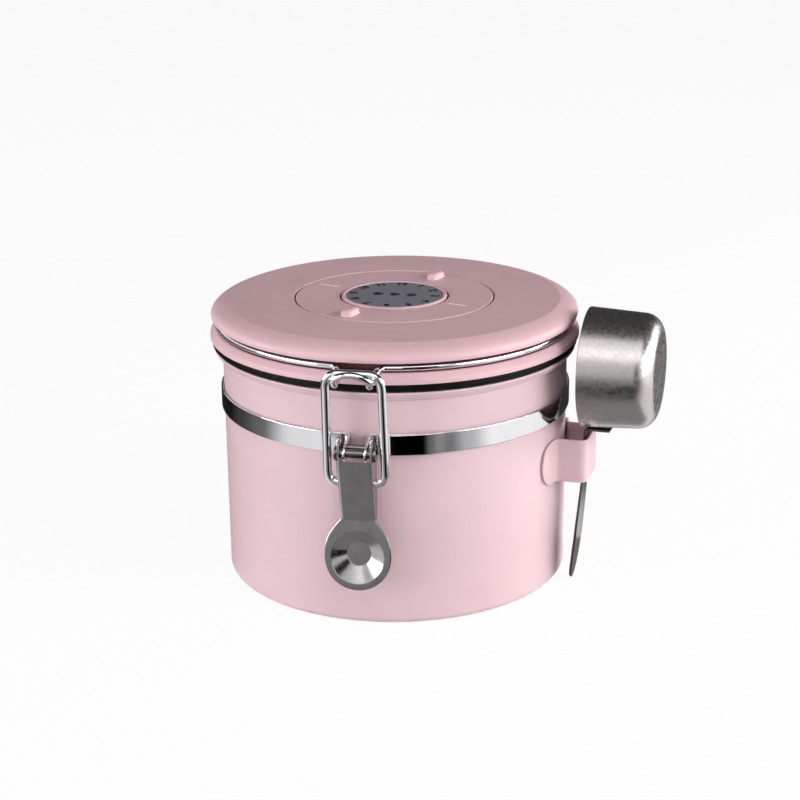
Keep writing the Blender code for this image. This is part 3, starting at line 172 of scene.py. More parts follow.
def finished(name, work):
    """Turn a bmesh into a smooth-shaded object whose corners stay sharp."""
    mesh = bpy.data.meshes.new(name)
    work.to_mesh(mesh)
    work.free()
    mesh.shade_smooth()
    mesh.set_sharp_from_angle(angle=SHARP)
    return add_object(name, mesh)


def skinned(name, vertices, faces):
    """A smooth-shaded object from points and faces, with its normals outward."""
    mesh = bpy.data.meshes.new(name)
    mesh.from_pydata([tuple(point) for point in vertices], [], faces)
    work = bmesh.new()
    work.from_mesh(mesh)
    bpy.data.meshes.remove(mesh)
    bmesh.ops.recalc_face_normals(work, faces=work.faces)
    return finished(name, work)


def spread(start, end, steps):
    """Even steps from start to end."""
    return [start + (end - start) * step / steps for step in range(steps + 1)]


def filleted(corners, closed=False, steps=4, hold=HOLD):
    """Round the corners (x, y, radius) of a flat path, with a point either side that keeps the flats flat."""
    path = []
    count = len(corners)
    for index, (x, y, radius) in enumerate(corners):
        corner = Vector((x, y))
        at_end = not closed and index in (0, count - 1)
        if at_end or radius <= 0:
            path.append(corner)
            continue
        before = Vector(corners[index - 1][:2]) - corner
        after = Vector(corners[(index + 1) % count][:2]) - corner
        opening = before.angle(after)
        reach = radius / math.tan(opening / 2)
        reach = min(reach, FULL_REACH * before.length, FULL_REACH * after.length)
        true_radius = reach * math.tan(opening / 2)
        before.normalize()
        after.normalize()
        centre = corner + (before + after).normalized() * (true_radius / math.sin(opening / 2))
        start = corner + before * reach
        end = corner + after * reach
        if hold:
            path.append(start + before * min(hold, reach / 4))
        arm = start - centre
        sweep = arm.angle_signed(end - centre)
        for step in range(steps + 1):
            path.append(centre + Matrix.Rotation(-sweep * step / steps, 2) @ arm)
        if hold:
            path.append(end + after * min(hold, reach / 4))
    return path


def turned(name, corners, segments=256, closed=False, steps=4):
    """Turn a filleted profile of (radius, height, fillet) corners about Z."""
    vertices = []
    rings = []
    for radius, height in filleted(corners, closed, steps):
        if radius <= 0:
            rings.append([len(vertices)])
            vertices.append((0, 0, height))
            continue
        rings.append(list(range(len(vertices), len(vertices) + segments)))
        for step in range(segments):
            angle = TAU * step / segments
            vertices.append((radius * math.cos(angle), radius * math.sin(angle), height))
    pairs = list(zip(rings, rings[1:]))
    if closed:
        pairs.append((rings[-1], rings[0]))
    faces = []
    for one, two in pairs:
        for step in range(segments):
            after = (step + 1) % segments
            around = ((one, step), (one, after), (two, after), (two, step))
            faces.append(tuple(dict.fromkeys(ring[place % len(ring)] for ring, place in around)))
    return skinned(name, vertices, faces)


def loft(name, rings, closed=False):
    """Join rings of points into a closed surface; open ends are capped."""
    count = len(rings[0])
    vertices = [point for ring in rings for point in ring]
    faces = []
    spans = len(rings) if closed else len(rings) - 1
    for index in range(spans):
        one = index * count
        two = (index + 1) % len(rings) * count
        for step in range(count):
            after = (step + 1) % count
            faces.append((one + step, one + after, two + after, two + step))
    if not closed:
        faces.append(tuple(range(count)))
        faces.append(tuple(range(len(vertices) - count, len(vertices)))[::-1])
    return skinned(name, vertices, faces)


def rounded(corners, bends, steps=8, closed=False):
    """Round the corners of a path in space; each bend is the radius at its corner."""
    path = []
    count = len(corners)
    for index, (corner, bend) in enumerate(zip(corners, bends)):
        corner = Vector(corner)
        if bend == 0 or (not closed and index in (0, count - 1)):
            path.append(corner)
            continue
        before = (Vector(corners[index - 1]) - corner).normalized()
        after = (Vector(corners[(index + 1) % count]) - corner).normalized()
        half_turn = (math.pi - before.angle(after)) / 2
        reach = bend * math.tan(half_turn)
        start = corner + before * reach
        end = corner + after * reach
        for share in spread(0.0, 1.0, steps):
            path.append(start.lerp(corner, share).lerp(corner.lerp(end, share), share))
    return path


def parted(path, least=0.00005):
    """Drop points that lie on top of the one before."""
    kept = [path[0]]
    for point in path[1:]:
        if (point - kept[-1]).length > least:
            kept.append(point)
    return kept


def tube(name, path, radius, closed=False, sides=28):
    """A round wire along a path in space."""
    path = parted(path)
    if closed and (path[0] - path[-1]).length < radius / 100:
        path.pop()
    count = len(path)
    side = None
    rings = []
    for index, point in enumerate(path):
        after = path[(index + 1) % count] if closed or index + 1 < count else point
        before = path[index - 1] if closed or index else point
        tangent = (after - before).normalized()
        side = side or tangent.orthogonal().normalized()
        side = (side - tangent * side.dot(tangent)).normalized()
        other = tangent.cross(side)
        rings.append([point + (side * math.cos(angle) + other * math.sin(angle)) * radius
                      for angle in [TAU * step / sides for step in range(sides)]])
    return loft(name, rings, closed)


def bar_section(half_width, half_thickness, edge):
    """A flat bar's rounded section, as (across, through) points."""
    corners = [(half_width, half_thickness, edge), (-half_width, half_thickness, edge),
               (-half_width, -half_thickness, edge), (half_width, -half_thickness, edge)]
    return filleted(corners, closed=True)


def channel_section(half, sheet):
    """The lever's front: a plate whose sides turn back in a wide bend, as (across, through) points."""
    out, back = -sheet / 2, -sheet / 2 + LEVER_BEND + sheet
    inner = LEVER_BEND - sheet * FOLD_SHARE
    return filleted([(half, back, HAIR), (half, out, LEVER_BEND), (-half, out, LEVER_BEND),
                     (-half, back, HAIR), (sheet - half, back, HAIR), (sheet - half, out + sheet, inner),
                     (half - sheet, out + sheet, inner), (half - sheet, back, HAIR)], closed=True, steps=6)


def strip(name, path, widths, thickness, across, edge=SHEET_EDGE, section=None):
    """A strip of sheet along a flat path; widths are its half widths at the path's points."""
    across = Vector(across).normalized()
    count = len(path)
    rings = []
    for index, (point, width) in enumerate(zip(path, widths)):
        into = (point - path[index - 1]).normalized() if index else None
        out = (path[index + 1] - point).normalized() if index + 1 < count else None
        into = into or out
        out = out or into
        tangent = (into + out).normalized()
        normal = across.cross(tangent).normalized()
        stretch = 1 / max(0.5, tangent.dot(into))
        rings.append([point + across * side + normal * (through * stretch)
                      for side, through in section or bar_section(width, thickness / 2, edge)])
    return loft(name, rings)


def plate(name, outline, thickness, place, edge=SHEET_EDGE):
    """A flat plate from an outline, with rounded edges; place maps the outline's plane into the world."""
    work = bmesh.new()
    low = [work.verts.new((x, y, -thickness / 2)) for x, y in outline]
    high = [work.verts.new((x, y, thickness / 2)) for x, y in outline]
    bottom = work.faces.new(low[::-1])
    top = work.faces.new(high)
    for index in range(len(outline)):
        after = (index + 1) % len(outline)
        work.faces.new((low[index], low[after], high[after], high[index]))
    bmesh.ops.recalc_face_normals(work, faces=work.faces)
    rims = list(bottom.edges) + list(top.edges)
    bmesh.ops.bevel(work, geom=rims, offset=edge, segments=2, profile=0.5, affect="EDGES")
    work.transform(place)
    return finished(name, work)


def joined(name, things):
    """Make one object of several."""
    work = bmesh.new()
    for thing in things:
        work.from_mesh(thing.data)
        bpy.data.objects.remove(thing, do_unlink=True)
    return finished(name, work)


def cut(thing, cutter):
    """Cut a shape out of a piece for good."""
    step = thing.modifiers.new("cut", "BOOLEAN")
    step.operation = "DIFFERENCE"
    step.object = cutter
    step.solver = "EXACT"
    graph = bpy.context.evaluated_depsgraph_get()
    mesh = bpy.data.meshes.new_from_object(thing.evaluated_get(graph))
    thing.modifiers.clear()
    thing.data = mesh
    bpy.data.objects.remove(cutter, do_unlink=True)
    mesh.set_sharp_from_angle(angle=SHARP)


def posed(place, angle, axis="Z"):
    """A turn about an axis, then a move."""
    return Matrix.Translation(place) @ Matrix.Rotation(angle, 4, axis)


def side_plane(across):
    """Maps (reach, height) into the plane across the latch, reach outward at the front."""
    return Matrix(((0, 0, 1, across), (-1, 0, 0, 0), (0, 1, 0, 0), (0, 0, 0, 1)))


def front(reach, height, across=0.0):
    """A point in front of the canister, at a reach from its axis."""
    return Vector((across, -reach, height))


def polar(radius, angle, height=0.0):
    """A point at an angle from the latch, positive towards +X."""
    return Vector((radius * math.sin(angle), -radius * math.cos(angle), height))


def arc(centre, radius, start, end, steps):
    """Points on a circle from one angle to another."""
    return [(centre[0] + radius * math.cos(angle), centre[1] + radius * math.sin(angle))
            for angle in spread(start, end, steps)]


def between(table, share):
    """Read a value out of a table of (share, value)."""
    for (one, low), (two, high) in zip(table, table[1:]):
        if share <= two:
            way = (share - one) / (two - one)
            return low + (high - low) * way
    return table[-1][1]


# Materials; a noise is given as its scale, detail, roughness and stretch, and most of it lies within NOISE
NOISE, GRAIN_NOISE, WIDE_NOISE = (0.3, 0.7), (1300, 4, 0.7), (0.25, 0.75)
GRAIN = 0.00002


def add_node(tree, kind, **values):
    """Add a node, fill its inputs with numbers or links, and give its first output."""
    node = tree.nodes.new("ShaderNode" + kind)
    for key, value in values.items():
        socket = node.inputs[key.replace("_", " ")]
        if isinstance(value, bpy.types.NodeSocket):
            tree.links.new(value, socket)
        else:
            socket.default_value = value
    return node.outputs[0]


def make_look(name, colour, tint, rough, bumps=(), metallic=0.0, specular=0.5, levels=NOISE):
    """A material: one noise shades its colour, others vary its roughness and raise its surface."""
    look = bpy.data.materials.new(name)
    look.use_nodes = True
    tree = look.node_tree
    shader = tree.nodes["Principled BSDF"].inputs
    texture = tree.nodes.new("ShaderNodeTexCoord")

    def noise(scale, detail, roughness=0.55, stretch=(1, 1, 1)):
        """A noise texture's grey."""
        place = add_node(tree, "Mapping", Vector=texture.outputs["Object"], Scale=stretch)
        return add_node(tree, "TexNoise", Vector=place, Scale=scale, Detail=detail, Roughness=roughness)

    shader["Base Color"].default_value = (*colour, 1)
    shader["Metallic"].default_value = metallic
    shader["Specular IOR Level"].default_value = specular
    ramp = tree.nodes.new("ShaderNodeValToRGB")
    for stop, share, level in zip(ramp.color_ramp.elements, tint[1:], levels):
        stop.position = level
        stop.color = (*[channel * share for channel in colour], 1)
    tree.links.new(noise(*tint[0]), ramp.inputs["Fac"])
    tree.links.new(ramp.outputs["Color"], shader["Base Color"])
    if isinstance(rough, float):
        shader["Roughness"].default_value = rough
    else:
        recipe, least, most = rough
        varied = add_node(tree, "MapRange", Value=noise(*recipe), From_Min=NOISE[0], From_Max=NOISE[1],
                          To_Min=least, To_Max=most)
        tree.links.new(varied, shader["Roughness"])
    earlier = {}
    for grain, distance, strength in bumps:
        earlier["Normal"] = add_node(tree, "Bump", Height=noise(*grain), Distance=distance, Strength=strength,
                                     **earlier)
        tree.links.new(earlier["Normal"], shader["Normal"])
    return look


def coated_pink(name):
    """Fine powder coat on drawn steel."""
    return make_look(name, (0.74, 0.535, 0.57), ((38, 4), 0.975, 1.02), ((900, 2), 0.36, 0.44),
                     (((1700, 3), GRAIN, 0.5), ((240, 2), GRAIN, 0.35)))


def plastic_pink(name):
    """Spark-eroded texture on moulded plastic."""
    return make_look(name, (0.765, 0.50, 0.535), ((45, 4), 0.97, 1.03), ((1500, 2), 0.42, 0.52),
                     (((2300, 4), GRAIN, 0.5),))


def plastic_shade(name):
    """The same plastic, darkened to paint the shade that falls in the narrow grooves."""
    return make_look(name, (0.16, 0.075, 0.085), ((60, 3), 0.9, 1.1), 0.6, specular=0.1)


def mark_pink(name):
    """The dial's arrow and line, filled with a lighter pink that paints the highlight where light catches
    their cut edges.
    """
    return make_look(name, (0.90, 0.70, 0.73), ((60, 3), 0.97, 1.0), 0.4)


def bright_steel(name):
    """Polished stainless wire and strap, with hair-fine scratches."""
    return make_look(name, (0.88, 0.875, 0.895), ((90, 3), 0.94, 1.0),
                     ((420, 4, 0.55, (1, 1, 0.2)), 0.035, 0.09), (((160, 2), 2 * GRAIN, 0.25),), 1.0)


def satin_steel(name):
    """Tumbled stainless sheet of the lever."""
    return make_look(name, (0.47, 0.455, 0.465), ((210, 5), 0.90, 1.06), ((700, 4), 0.12, 0.20),
                     (((1300, 4), GRAIN, 0.35),), 1.0)


def pin_steel(name):
    """Polished steel of the pins, darkened to paint the shade and dark reflections between the ears."""
    return make_look(name, (0.20, 0.19, 0.18), ((300, 3), 0.85, 1.1), ((600, 3), 0.09, 0.16), metallic=1.0)


def brushed_steel(name):
    """The scoop's stainless steel, blasted to a fine sandy grain with a faint trace of turning."""
    return make_look(name, (0.60, 0.565, 0.55), (GRAIN_NOISE, 0.80, 1.10), ((700, 3), 0.24, 0.36),
                     ((GRAIN_NOISE, 2 * GRAIN, 0.5), ((1, 4, 0.7, (900, 22, 22)), GRAIN, 0.25)), 1.0,
                     levels=WIDE_NOISE)


def handle_steel(name):
    """The scoop's handle, smoother than its cup; its darker colour paints the dark reflection that it shows.
    """
    return make_look(name, (0.165, 0.150, 0.145), (GRAIN_NOISE, 0.75, 1.20), ((700, 3), 0.18, 0.28),
                     ((GRAIN_NOISE, 1.5 * GRAIN, 0.3),), 1.0, levels=WIDE_NOISE)


def inner_steel(name):
    """The can's bare inside, drawn and lightly brushed round."""
    streaks = (1, 4, 0.6, (60, 60, 2600))
    return make_look(name, (0.56, 0.55, 0.54), (streaks, 0.88, 1.06), (streaks, 0.30, 0.46),
                     ((streaks, GRAIN, 0.4),), 1.0)


def seal_black(name):
    """Black silicone."""
    return make_look(name, (0.004, 0.004, 0.004), ((300, 3), 0.75, 1.5), ((600, 3), 0.34, 0.50),
                     (((900, 3), GRAIN, 0.3),), specular=0.12)


def label_grey(name):
    """The dial's satin grey print."""
    return make_look(name, (0.30, 0.30, 0.345), ((1900, 3), 0.80, 1.2), ((800, 2), 0.36, 0.50),
                     (((1600, 3), GRAIN / 2, 0.4),), 0.35)


def print_black(name):
    """The dial's printed marks."""
    return make_look(name, (0.006, 0.006, 0.0074), ((2200, 3), 0.667, 1.5), ((900, 2), 0.40, 0.52),
                     specular=0.1)


def valve_white(name):
    """Plain moulded plastic inside the lid."""
    return make_look(name, (0.76, 0.755, 0.73), ((60, 3), 0.96, 1.0), ((1200, 2), 0.40, 0.52),
                     (((1800, 3), GRAIN, 0.3),))


def filter_felt(name):
    """Pressed felt."""
    look = make_look(name, (0.66, 0.62, 0.54), ((2600, 5), 0.78, 1.1), 0.9, (((3000, 5), 5 * GRAIN, 0.9),))
    look.node_tree.nodes["Principled BSDF"].inputs["Sheen Weight"].default_value = 0.3
    return look


LOOKS = {make.__name__: make(make.__name__) for make in (
    coated_pink, plastic_pink, plastic_shade, mark_pink, bright_steel, satin_steel, pin_steel, brushed_steel,
    handle_steel, inner_steel, seal_black, label_grey, print_black, valve_white, filter_felt)}


def dress(thing, look, body, replaces=None, slot=None):
    """Give a piece its material and its body, and hide the CAD node that it stands for; slot is not used."""
    thing.data.materials.clear()
    thing.data.materials.append(LOOKS[look])
    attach(thing, body)
    slot or look
    if replaces:
        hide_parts(replaces)
    return thing


def second_look(thing, look, chosen):
    """Give another material to the faces that chosen picks, by their radius from the axis and themselves."""
    thing.data.materials.append(LOOKS[look])
    for face in thing.data.polygons:
        if chosen(face.center.xy.length, face):
            face.material_index = len(thing.data.materials) - 1


# Canister body, strap, ears and pins


def make_body():
    """The coated can with its flared lip, bare steel inside."""
    inner = BODY_RADIUS - BODY_WALL
    neck = LIP_TOP - LIP_DROP
    profile = [(0, 0, 0), (BODY_RADIUS, 0, BASE_CORNER), (BODY_RADIUS, neck - CRISP, MILD),
               (BODY_RADIUS + LIP_FLARE, neck + EASED, ROUND), (LIP_RADIUS, LIP_TOP - ROUND, SOFT),
               (LIP_RADIUS, LIP_TOP, SOFT), (LIP_RADIUS - BODY_WALL, LIP_TOP, ROUND), (inner, neck, LIP_BEND),
               (inner, BODY_WALL, BASE_CORNER - BODY_WALL), (0, BODY_WALL, 0)]
    body = dress(turned("body_shell", profile, steps=8), "coated_pink", "canister", "canister_body")
    second_look(body, "inner_steel", lambda radius, face: radius < inner + BODY_WALL / 4
                and face.center.z < neck and (face.center.z > BASE_CORNER or face.normal.z > 0))


def make_band(name, node, path, thickness, edge, side):
    """One length of the strap with the ear at its end."""
    band = strip("band", path, [STRAP_HEIGHT / 2] * len(path), thickness, (0, 0, 1), edge)
    root = BODY_RADIUS + GAP + TAB_THICKNESS / 2
    high = STRAP_BASE + STRAP_HEIGHT - GAP
    outline = [(root, STRAP_BASE + GAP), (root, high), (STRAP_RADIUS + EAR_THICKNESS, high)]
    outline += arc((PIN_REACH, PIN_HEIGHT), EAR_TIP_RADIUS, math.radians(62), -math.pi / 2, 12)
    ear = plate("ear", outline, EAR_THICKNESS, side_plane(side * EAR_MIDDLE))
    dress(joined(name, [band, ear]), "bright_steel", "canister", node)


def make_strap():
    """The strap, lapped over the tab on the right of the latch."""
    path = []
    for angle in spread(STRAP_START, TAU - math.asin(EAR_MIDDLE / STRAP_RADIUS), 200):
        rise = min(1.0, max(0.0, (STRAP_LAP + STRAP_JOGGLE - angle) / STRAP_JOGGLE))
        rise = rise * rise * (3 - 2 * rise)
        inside = BODY_RADIUS + GAP + (LAP_RADIUS - BODY_RADIUS - GAP) * rise
        path.append(polar(inside + STRAP_THICKNESS / 2, angle, STRAP_MIDDLE))
    make_band("strap_band", "strap", path, STRAP_THICKNESS, SOFT, -1)


def make_tab():
    """The tab under the lap."""
    radius = BODY_RADIUS + GAP + TAB_THICKNESS / 2
    path = [polar(radius, angle, STRAP_MIDDLE)
            for angle in spread(math.asin(EAR_MIDDLE / radius), STRAP_START + TAB_LAP, 16)]
    make_band("strap_end", "strap_tab", path, TAB_THICKNESS, TAB_EDGE, 1)


def make_pin(name, node, reach, height, radius, half, head_radius, head):
    """A riveted pin with domed heads."""
    corners = [(0, half, 0), (head_radius, half, head * 0.7), (head_radius, half - head, HAIR),
               (radius, half - head, HAIR), (radius, head - half, HAIR), (head_radius, head - half, HAIR),
               (head_radius, -half, head * 0.7), (0, -half, 0)]
    pin = turned(name, corners, 48)
    pin.data.transform(posed(front(reach, height), math.pi / 2, "Y"))
    # The pins' darker steel is painted shade and dark reflection.
    dress(pin, "pin_steel", "canister", node, "satin_steel")


# Toggle latch


def thumb_point(along, out):
    """A point (reach, height) on the thumb rest's plane."""
    lean = (math.sin(THUMB_TILT), math.cos(THUMB_TILT))
    return (THUMB_CENTRE[0] + along * lean[0] + out * lean[1],
            THUMB_CENTRE[1] + along * lean[1] - out * lean[0])


def thumb_outline():
    """The thumb rest's edge: the lever's side, a fillet, a broad shoulder and a half circle, twice."""
    side = LEVER_WIDTH / 2
    circle = arc((0, 0), THUMB_RADIUS, 0, -math.pi / 2, 40)
    shoulder = [(*corner, THUMB_BEND) for corner in THUMB_SHOULDER]
    half = filleted([(side, THUMB_NECK + THUMB_SIDE, 0), (side, THUMB_NECK, THUMB_FILLET)]
                    + shoulder + [(*circle[0], 0)], steps=6, hold=0)
    half += [Vector(point) for point in circle[1:]]
    top = [half[0].lerp(Vector((-half[0].x, half[0].y)), step / 16) for step in range(15, 0, -1)]
    return half + [Vector((-point.x, point.y)) for point in half[-2::-1]] + top


def make_thumb_rest():
    """The rest: a rim whose edge runs into the lever, and a dish whose floor lies a little high."""
    place = posed(front(*THUMB_CENTRE), math.pi / 2 + THUMB_TILT, "X")
    outline = thumb_outline()

    def dish(radius, depth):
        """A circle of the dish whose points face those of the outline."""
        share = max(0.0, min(1.0, (radius - DISH_FLOOR) / (DISH_RADIUS - DISH_FLOOR)))
        centre = DISH_LIFT + (-DISH_DROP - DISH_LIFT) * share
        ways = [(point - Vector((0, centre))).normalized() for point in outline]
        return [place @ Vector((way.x * radius, centre + way.y * radius, depth)) for way in ways]

    def rim(inset, depth):
        """The outline, drawn in by an inset."""
        points = []
        for index, point in enumerate(outline):
            along = outline[(index + 1) % len(outline)] - outline[index - 1]
            way = Vector((along.y, -along.x)).normalized()
            if way.dot(point) < 0:
                way = -way
            points.append(place @ Vector((*(point - way * inset), depth)))
        return points

    section = filleted([(HAIR, -DISH_DEPTH, 0), (DISH_FLOOR, -DISH_DEPTH, BROAD),
                        (DISH_RADIUS, 0, DISH_BEND), (DISH_RADIUS + DISH_RIM, 0, 0)], steps=6)
    rings = [dish(radius, depth) for radius, depth in section]
    rings += [rim(inset, depth) for inset, depth in (
        (SOFT + HOLD, 0), (SOFT, 0), (SOFT * 0.3, -SOFT * 0.3), (0, -SOFT), (0, SOFT - LEVER_SHEET),
        (SOFT, -LEVER_SHEET), (SOFT + HOLD, -LEVER_SHEET))]
    rings += [dish(radius, depth - LEVER_SHEET) for radius, depth in section[::-1]]
    return loft("thumb_rest", rings)


def make_lever():
    """The lever: a front plate whose sides fold back into two cheeks, and a dished thumb rest."""
    half = LEVER_WIDTH / 2
    sheet = LEVER_SHEET
    neck = thumb_point(THUMB_NECK, -sheet / 2)
    end = thumb_point(THUMB_RADIUS - LEVER_SINK, -sheet / 2 - GAP)
    path = parted(rounded([front(*LEVER_TOP), front(*neck), front(*end)], (0, LEVER_CURVE, 0), 10))
    section = channel_section(half, sheet)
    face = strip("lever_face", path, [half] * len(path), sheet, (1, 0, 0), section=section)
    back = STRAP_RADIUS + 2 * EAR_THICKNESS
    crest = PIN_HEIGHT + LEVER_CREST
    foot = neck[1] + sheet
    outline = filleted([
        (LEVER_TOP[0] - LEVER_BEND, LEVER_TOP[1], CRISP), (PIN_REACH + CHEEK_BROW, crest, BROW_BEND),
        (PIN_REACH - PIN_RADIUS, crest, BROW_BEND),
        (back + CHEEK_BACK, PIN_HEIGHT + LEVER_CREST / 2, CHEEK_BEND), (back, PIN_HEIGHT, BACK_BEND),
        (back - GAP / 3, foot + CHEEK_TAPER, BACK_BEND), (neck[0] - LEVER_BEND, foot, MILD),
        (neck[0] - LEVER_BEND + HAIR, foot, 0)],
        closed=True, steps=6, hold=0)
    cheeks = [plate("cheek", outline, sheet, side_plane(side * (half - sheet / 2)), CHEEK_EDGE)
              for side in (-1, 1)]
    dress(joined("lever_shell", [face, make_thumb_rest()] + cheeks), "satin_steel", "lever", "latch_lever")


def make_link():
    """The closed wire loop."""
    corners = [front(*LINK_FOOT, -LINK_FOOT_HALF), front(*LINK_FOOT, LINK_FOOT_HALF),
               front(*LINK_HEAD, LINK_HEAD_HALF), front(*LINK_HEAD, -LINK_HEAD_HALF)]
    bends = (LINK_FOOT_BEND, LINK_FOOT_BEND, LINK_HEAD_BEND, LINK_HEAD_BEND)
    loop = tube("link_loop", rounded(corners, bends, 14, closed=True), LINK_WIRE, closed=True)
    dress(loop, "bright_steel", "link", "latch_link")


# Bail wire and hinge


def make_bail():
    """The bail wire: from the hinge, round the lid's groove, to the hook in front."""
    rear = math.asin(WIRE_REAR_HALF / WIRE_RING)
    fore = math.asin(WIRE_FRONT_HALF / WIRE_RING)
    lead = 2 * WIRE_BEND / WIRE_RING
    level = WIRE_HEIGHT - (WIRE_RADIUS - WIRE_DRAWN)
    ease = WIRE_RADIUS / 4
    corners = [(WIRE_RADIUS, HINGE_REACH, HINGE_HEIGHT), (WIRE_REAR_HALF, HINGE_REACH, HINGE_HEIGHT),
               (WIRE_REAR_HALF, HINGE_REACH, level), (WIRE_REAR_HALF, WIRE_RING * math.cos(rear), level)]
    ring = [(WIRE_RING * math.sin(angle), WIRE_RING * math.cos(angle), level)
            for angle in spread(rear + lead, math.pi - fore - lead, 64)]
    to_hook = [(WIRE_FRONT_HALF, -WIRE_RING * math.cos(fore), level),
               ((WIRE_FRONT_HALF + HOOK_LEG) / 2, -FLANGE_RADIUS - ease, WIRE_HEIGHT - ease),
               (HOOK_LEG, HOOK_SEAT_BEHIND - LINK_HEAD[0], HOOK_SEAT),
               (HOOK_LEG, -LINK_HEAD[0] - HOOK_SEAT_AHEAD, HOOK_SEAT)]
    arch_radius = (HOOK_HALF ** 2 + HOOK_RISE ** 2) / (2 * HOOK_RISE)
    arch_end = math.asin(HOOK_HALF / arch_radius) * 0.9
    arch = []
    for share in spread(0.0, 1.0, 14):
        angle = arch_end * (1 - share)
        rise = HOOK_RISE - arch_radius * (1 - math.cos(angle))
        arch.append((arch_radius * math.sin(angle), -HOOK_REACH - rise * math.sin(HOOK_LEAN),
                     HOOK_FOOT + rise * math.cos(HOOK_LEAN)))
    bends = [0, WIRE_BEND, WIRE_BEND, GROOVE_BEND] + [0] * len(ring)
    bends += [GROOVE_BEND, WIRE_BEND, HOOK_BEND, HOOK_BEND] + [0] * len(arch)
    half = rounded(corners + ring + to_hook + arch, bends, 10)
    other = [Vector((-point.x, point.y, point.z)) for point in half[-2::-1]]
    dress(tube("bail_wire", half + other, WIRE_DRAWN), "bright_steel", "bail", "lid_wire")


def make_hinge():
    """The rear bracket and its rolled knuckle."""
    inside = STRAP_RADIUS + GAP + HINGE_SHEET / 2
    corners = [(0, inside, HINGE_FOOT), (0, inside, HINGE_HEIGHT - 2 * KNUCKLE_RADIUS),
               (0, HINGE_REACH - KNUCKLE_RADIUS + HINGE_SHEET / 2, HINGE_HEIGHT)]
    path = rounded(corners, (0, KNUCKLE_RADIUS, 0))
    leaf = strip("leaf", path, [KNUCKLE_HALF - GAP] * len(path), HINGE_SHEET, (1, 0, 0), SOFT)
    bore = WIRE_RADIUS + GAP
    profile = [(KNUCKLE_RADIUS, -KNUCKLE_HALF, EASED), (KNUCKLE_RADIUS, KNUCKLE_HALF, EASED),
               (bore, KNUCKLE_HALF, CRISP), (bore, -KNUCKLE_HALF, CRISP)]
    knuckle = turned("knuckle", profile, 64, closed=True, steps=3)
    knuckle.data.transform(posed((0, HINGE_REACH, HINGE_HEIGHT), math.pi / 2, "Y"))
    dress(joined("hinge_leaf", [leaf, knuckle]), "bright_steel", "canister", "hinge_bracket")


# Lid


def make_cap():
    """The soft-cornered upper shell, with the dial's pocket in its middle."""
    pocket = DIAL_RADIUS + DIAL_GROOVE
    hub = CORE_RADIUS - CAP_SKIRT
    floor = LID_TOP - CAP_WALL
    stem_hole = STEM_RADIUS + GAP
    crease = Vector((CAP_CREASE, LID_TOP))
    brow = Vector((CAP_RADIUS, LID_TOP - (CAP_RADIUS - CAP_CREASE) * math.tan(CAP_SLOPE)))
    lower = Vector((CAP_RADIUS, LID_TOP - (CAP_THICKNESS - CAP_LOWER_EDGE - SOFT)))
    profile = [(pocket, LID_TOP, DIAL_EASE), (CAP_CREASE, LID_TOP, MILD)]
    for share in spread(0.0, 1.0, 22)[1:]:
        profile.append((*crease.lerp(brow, share).lerp(brow.lerp(lower, share), share), 0))
    profile += [(CAP_RADIUS - SOFT, CAP_BASE + EASED, 0), (CAP_RADIUS - BROAD, CAP_BASE, 0),
                (CORE_RADIUS, CAP_BASE, CRISP), (CORE_RADIUS, FLANGE_TOP + GAP, HAIR),
                (hub, FLANGE_TOP + GAP, HAIR), (hub, floor, EASED), (pocket + CAP_WALL, floor, EASED),
                (pocket + CAP_WALL, POCKET_BASE, SOFT), (stem_hole, POCKET_BASE, HAIR),
                (stem_hole, POCKET_FLOOR, HAIR), (pocket, POCKET_FLOOR, CRISP)]
    shell = turned("cap_shell", profile, closed=True)
    dress(shell, "plastic_pink", "lid", "lid_cap")
    # Painted shade: the darkened plastic covers the cap's underside, the core inside the wire's groove and
    # the dial's pocket.
    second_look(shell, "plastic_shade", lambda radius, face: face.center.z < CAP_BASE + HAIR
                or (radius < pocket + HAIR and face.center.z < LID_TOP - EASED))


def make_base():
    """The lower shell: the flange under the wire, and the plug that enters the can."""
    inner = PLUG_RADIUS - PLUG_WALL
    seat = VALVE_RADIUS + GAP
    wire_edge = WIRE_RING + FLANGE_EDGE
    profile = [(inner, FLANGE_TOP, SOFT), (wire_edge, FLANGE_TOP, 0),
               (FLANGE_RADIUS - FLANGE_CHAMFER, FLANGE_TOP, BROAD),
               (FLANGE_RADIUS, FLANGE_TOP - FLANGE_CHAMFER, BROAD), (FLANGE_RADIUS, FLANGE_BASE, SOFT),
               (PLUG_RADIUS, FLANGE_BASE, SOFT), (PLUG_RADIUS, PLUG_BASE, BROAD), (seat, PLUG_BASE, SOFT),
               (seat, PLUG_BASE + PLUG_WALL, SOFT), (inner, PLUG_BASE + PLUG_WALL, ROUND)]
    shell = turned("base_shell", profile, closed=True)
    dress(shell, "plastic_pink", "lid", "lid_base")
    # Painted shade: the darkened plastic covers the flange's top inside the wire, down in the groove.
    second_look(shell, "plastic_shade",
                lambda radius, face: radius < wire_edge and face.center.z > FLANGE_TOP - HAIR)


def make_seal():
    """The black seal between the lid and the can's lip."""
    top = SEAL_BASE + SEAL_THICKNESS
    profile = [(SEAL_INNER, top, CRISP), (SEAL_RADIUS, top, EASED), (SEAL_RADIUS, SEAL_BASE, SEAL_BEND),
               (SEAL_INNER, SEAL_BASE, CRISP)]
    dress(turned("seal_ring", profile, closed=True, steps=5), "seal_black", "lid", "gasket")


def stadium(length, width):
    """A round-ended outline, long along Y."""
    radius = width / 2
    reach = length / 2 - radius
    return arc((0, reach), radius, 0, math.pi, 10) + arc((0, -reach), radius, math.pi, TAU, 10)


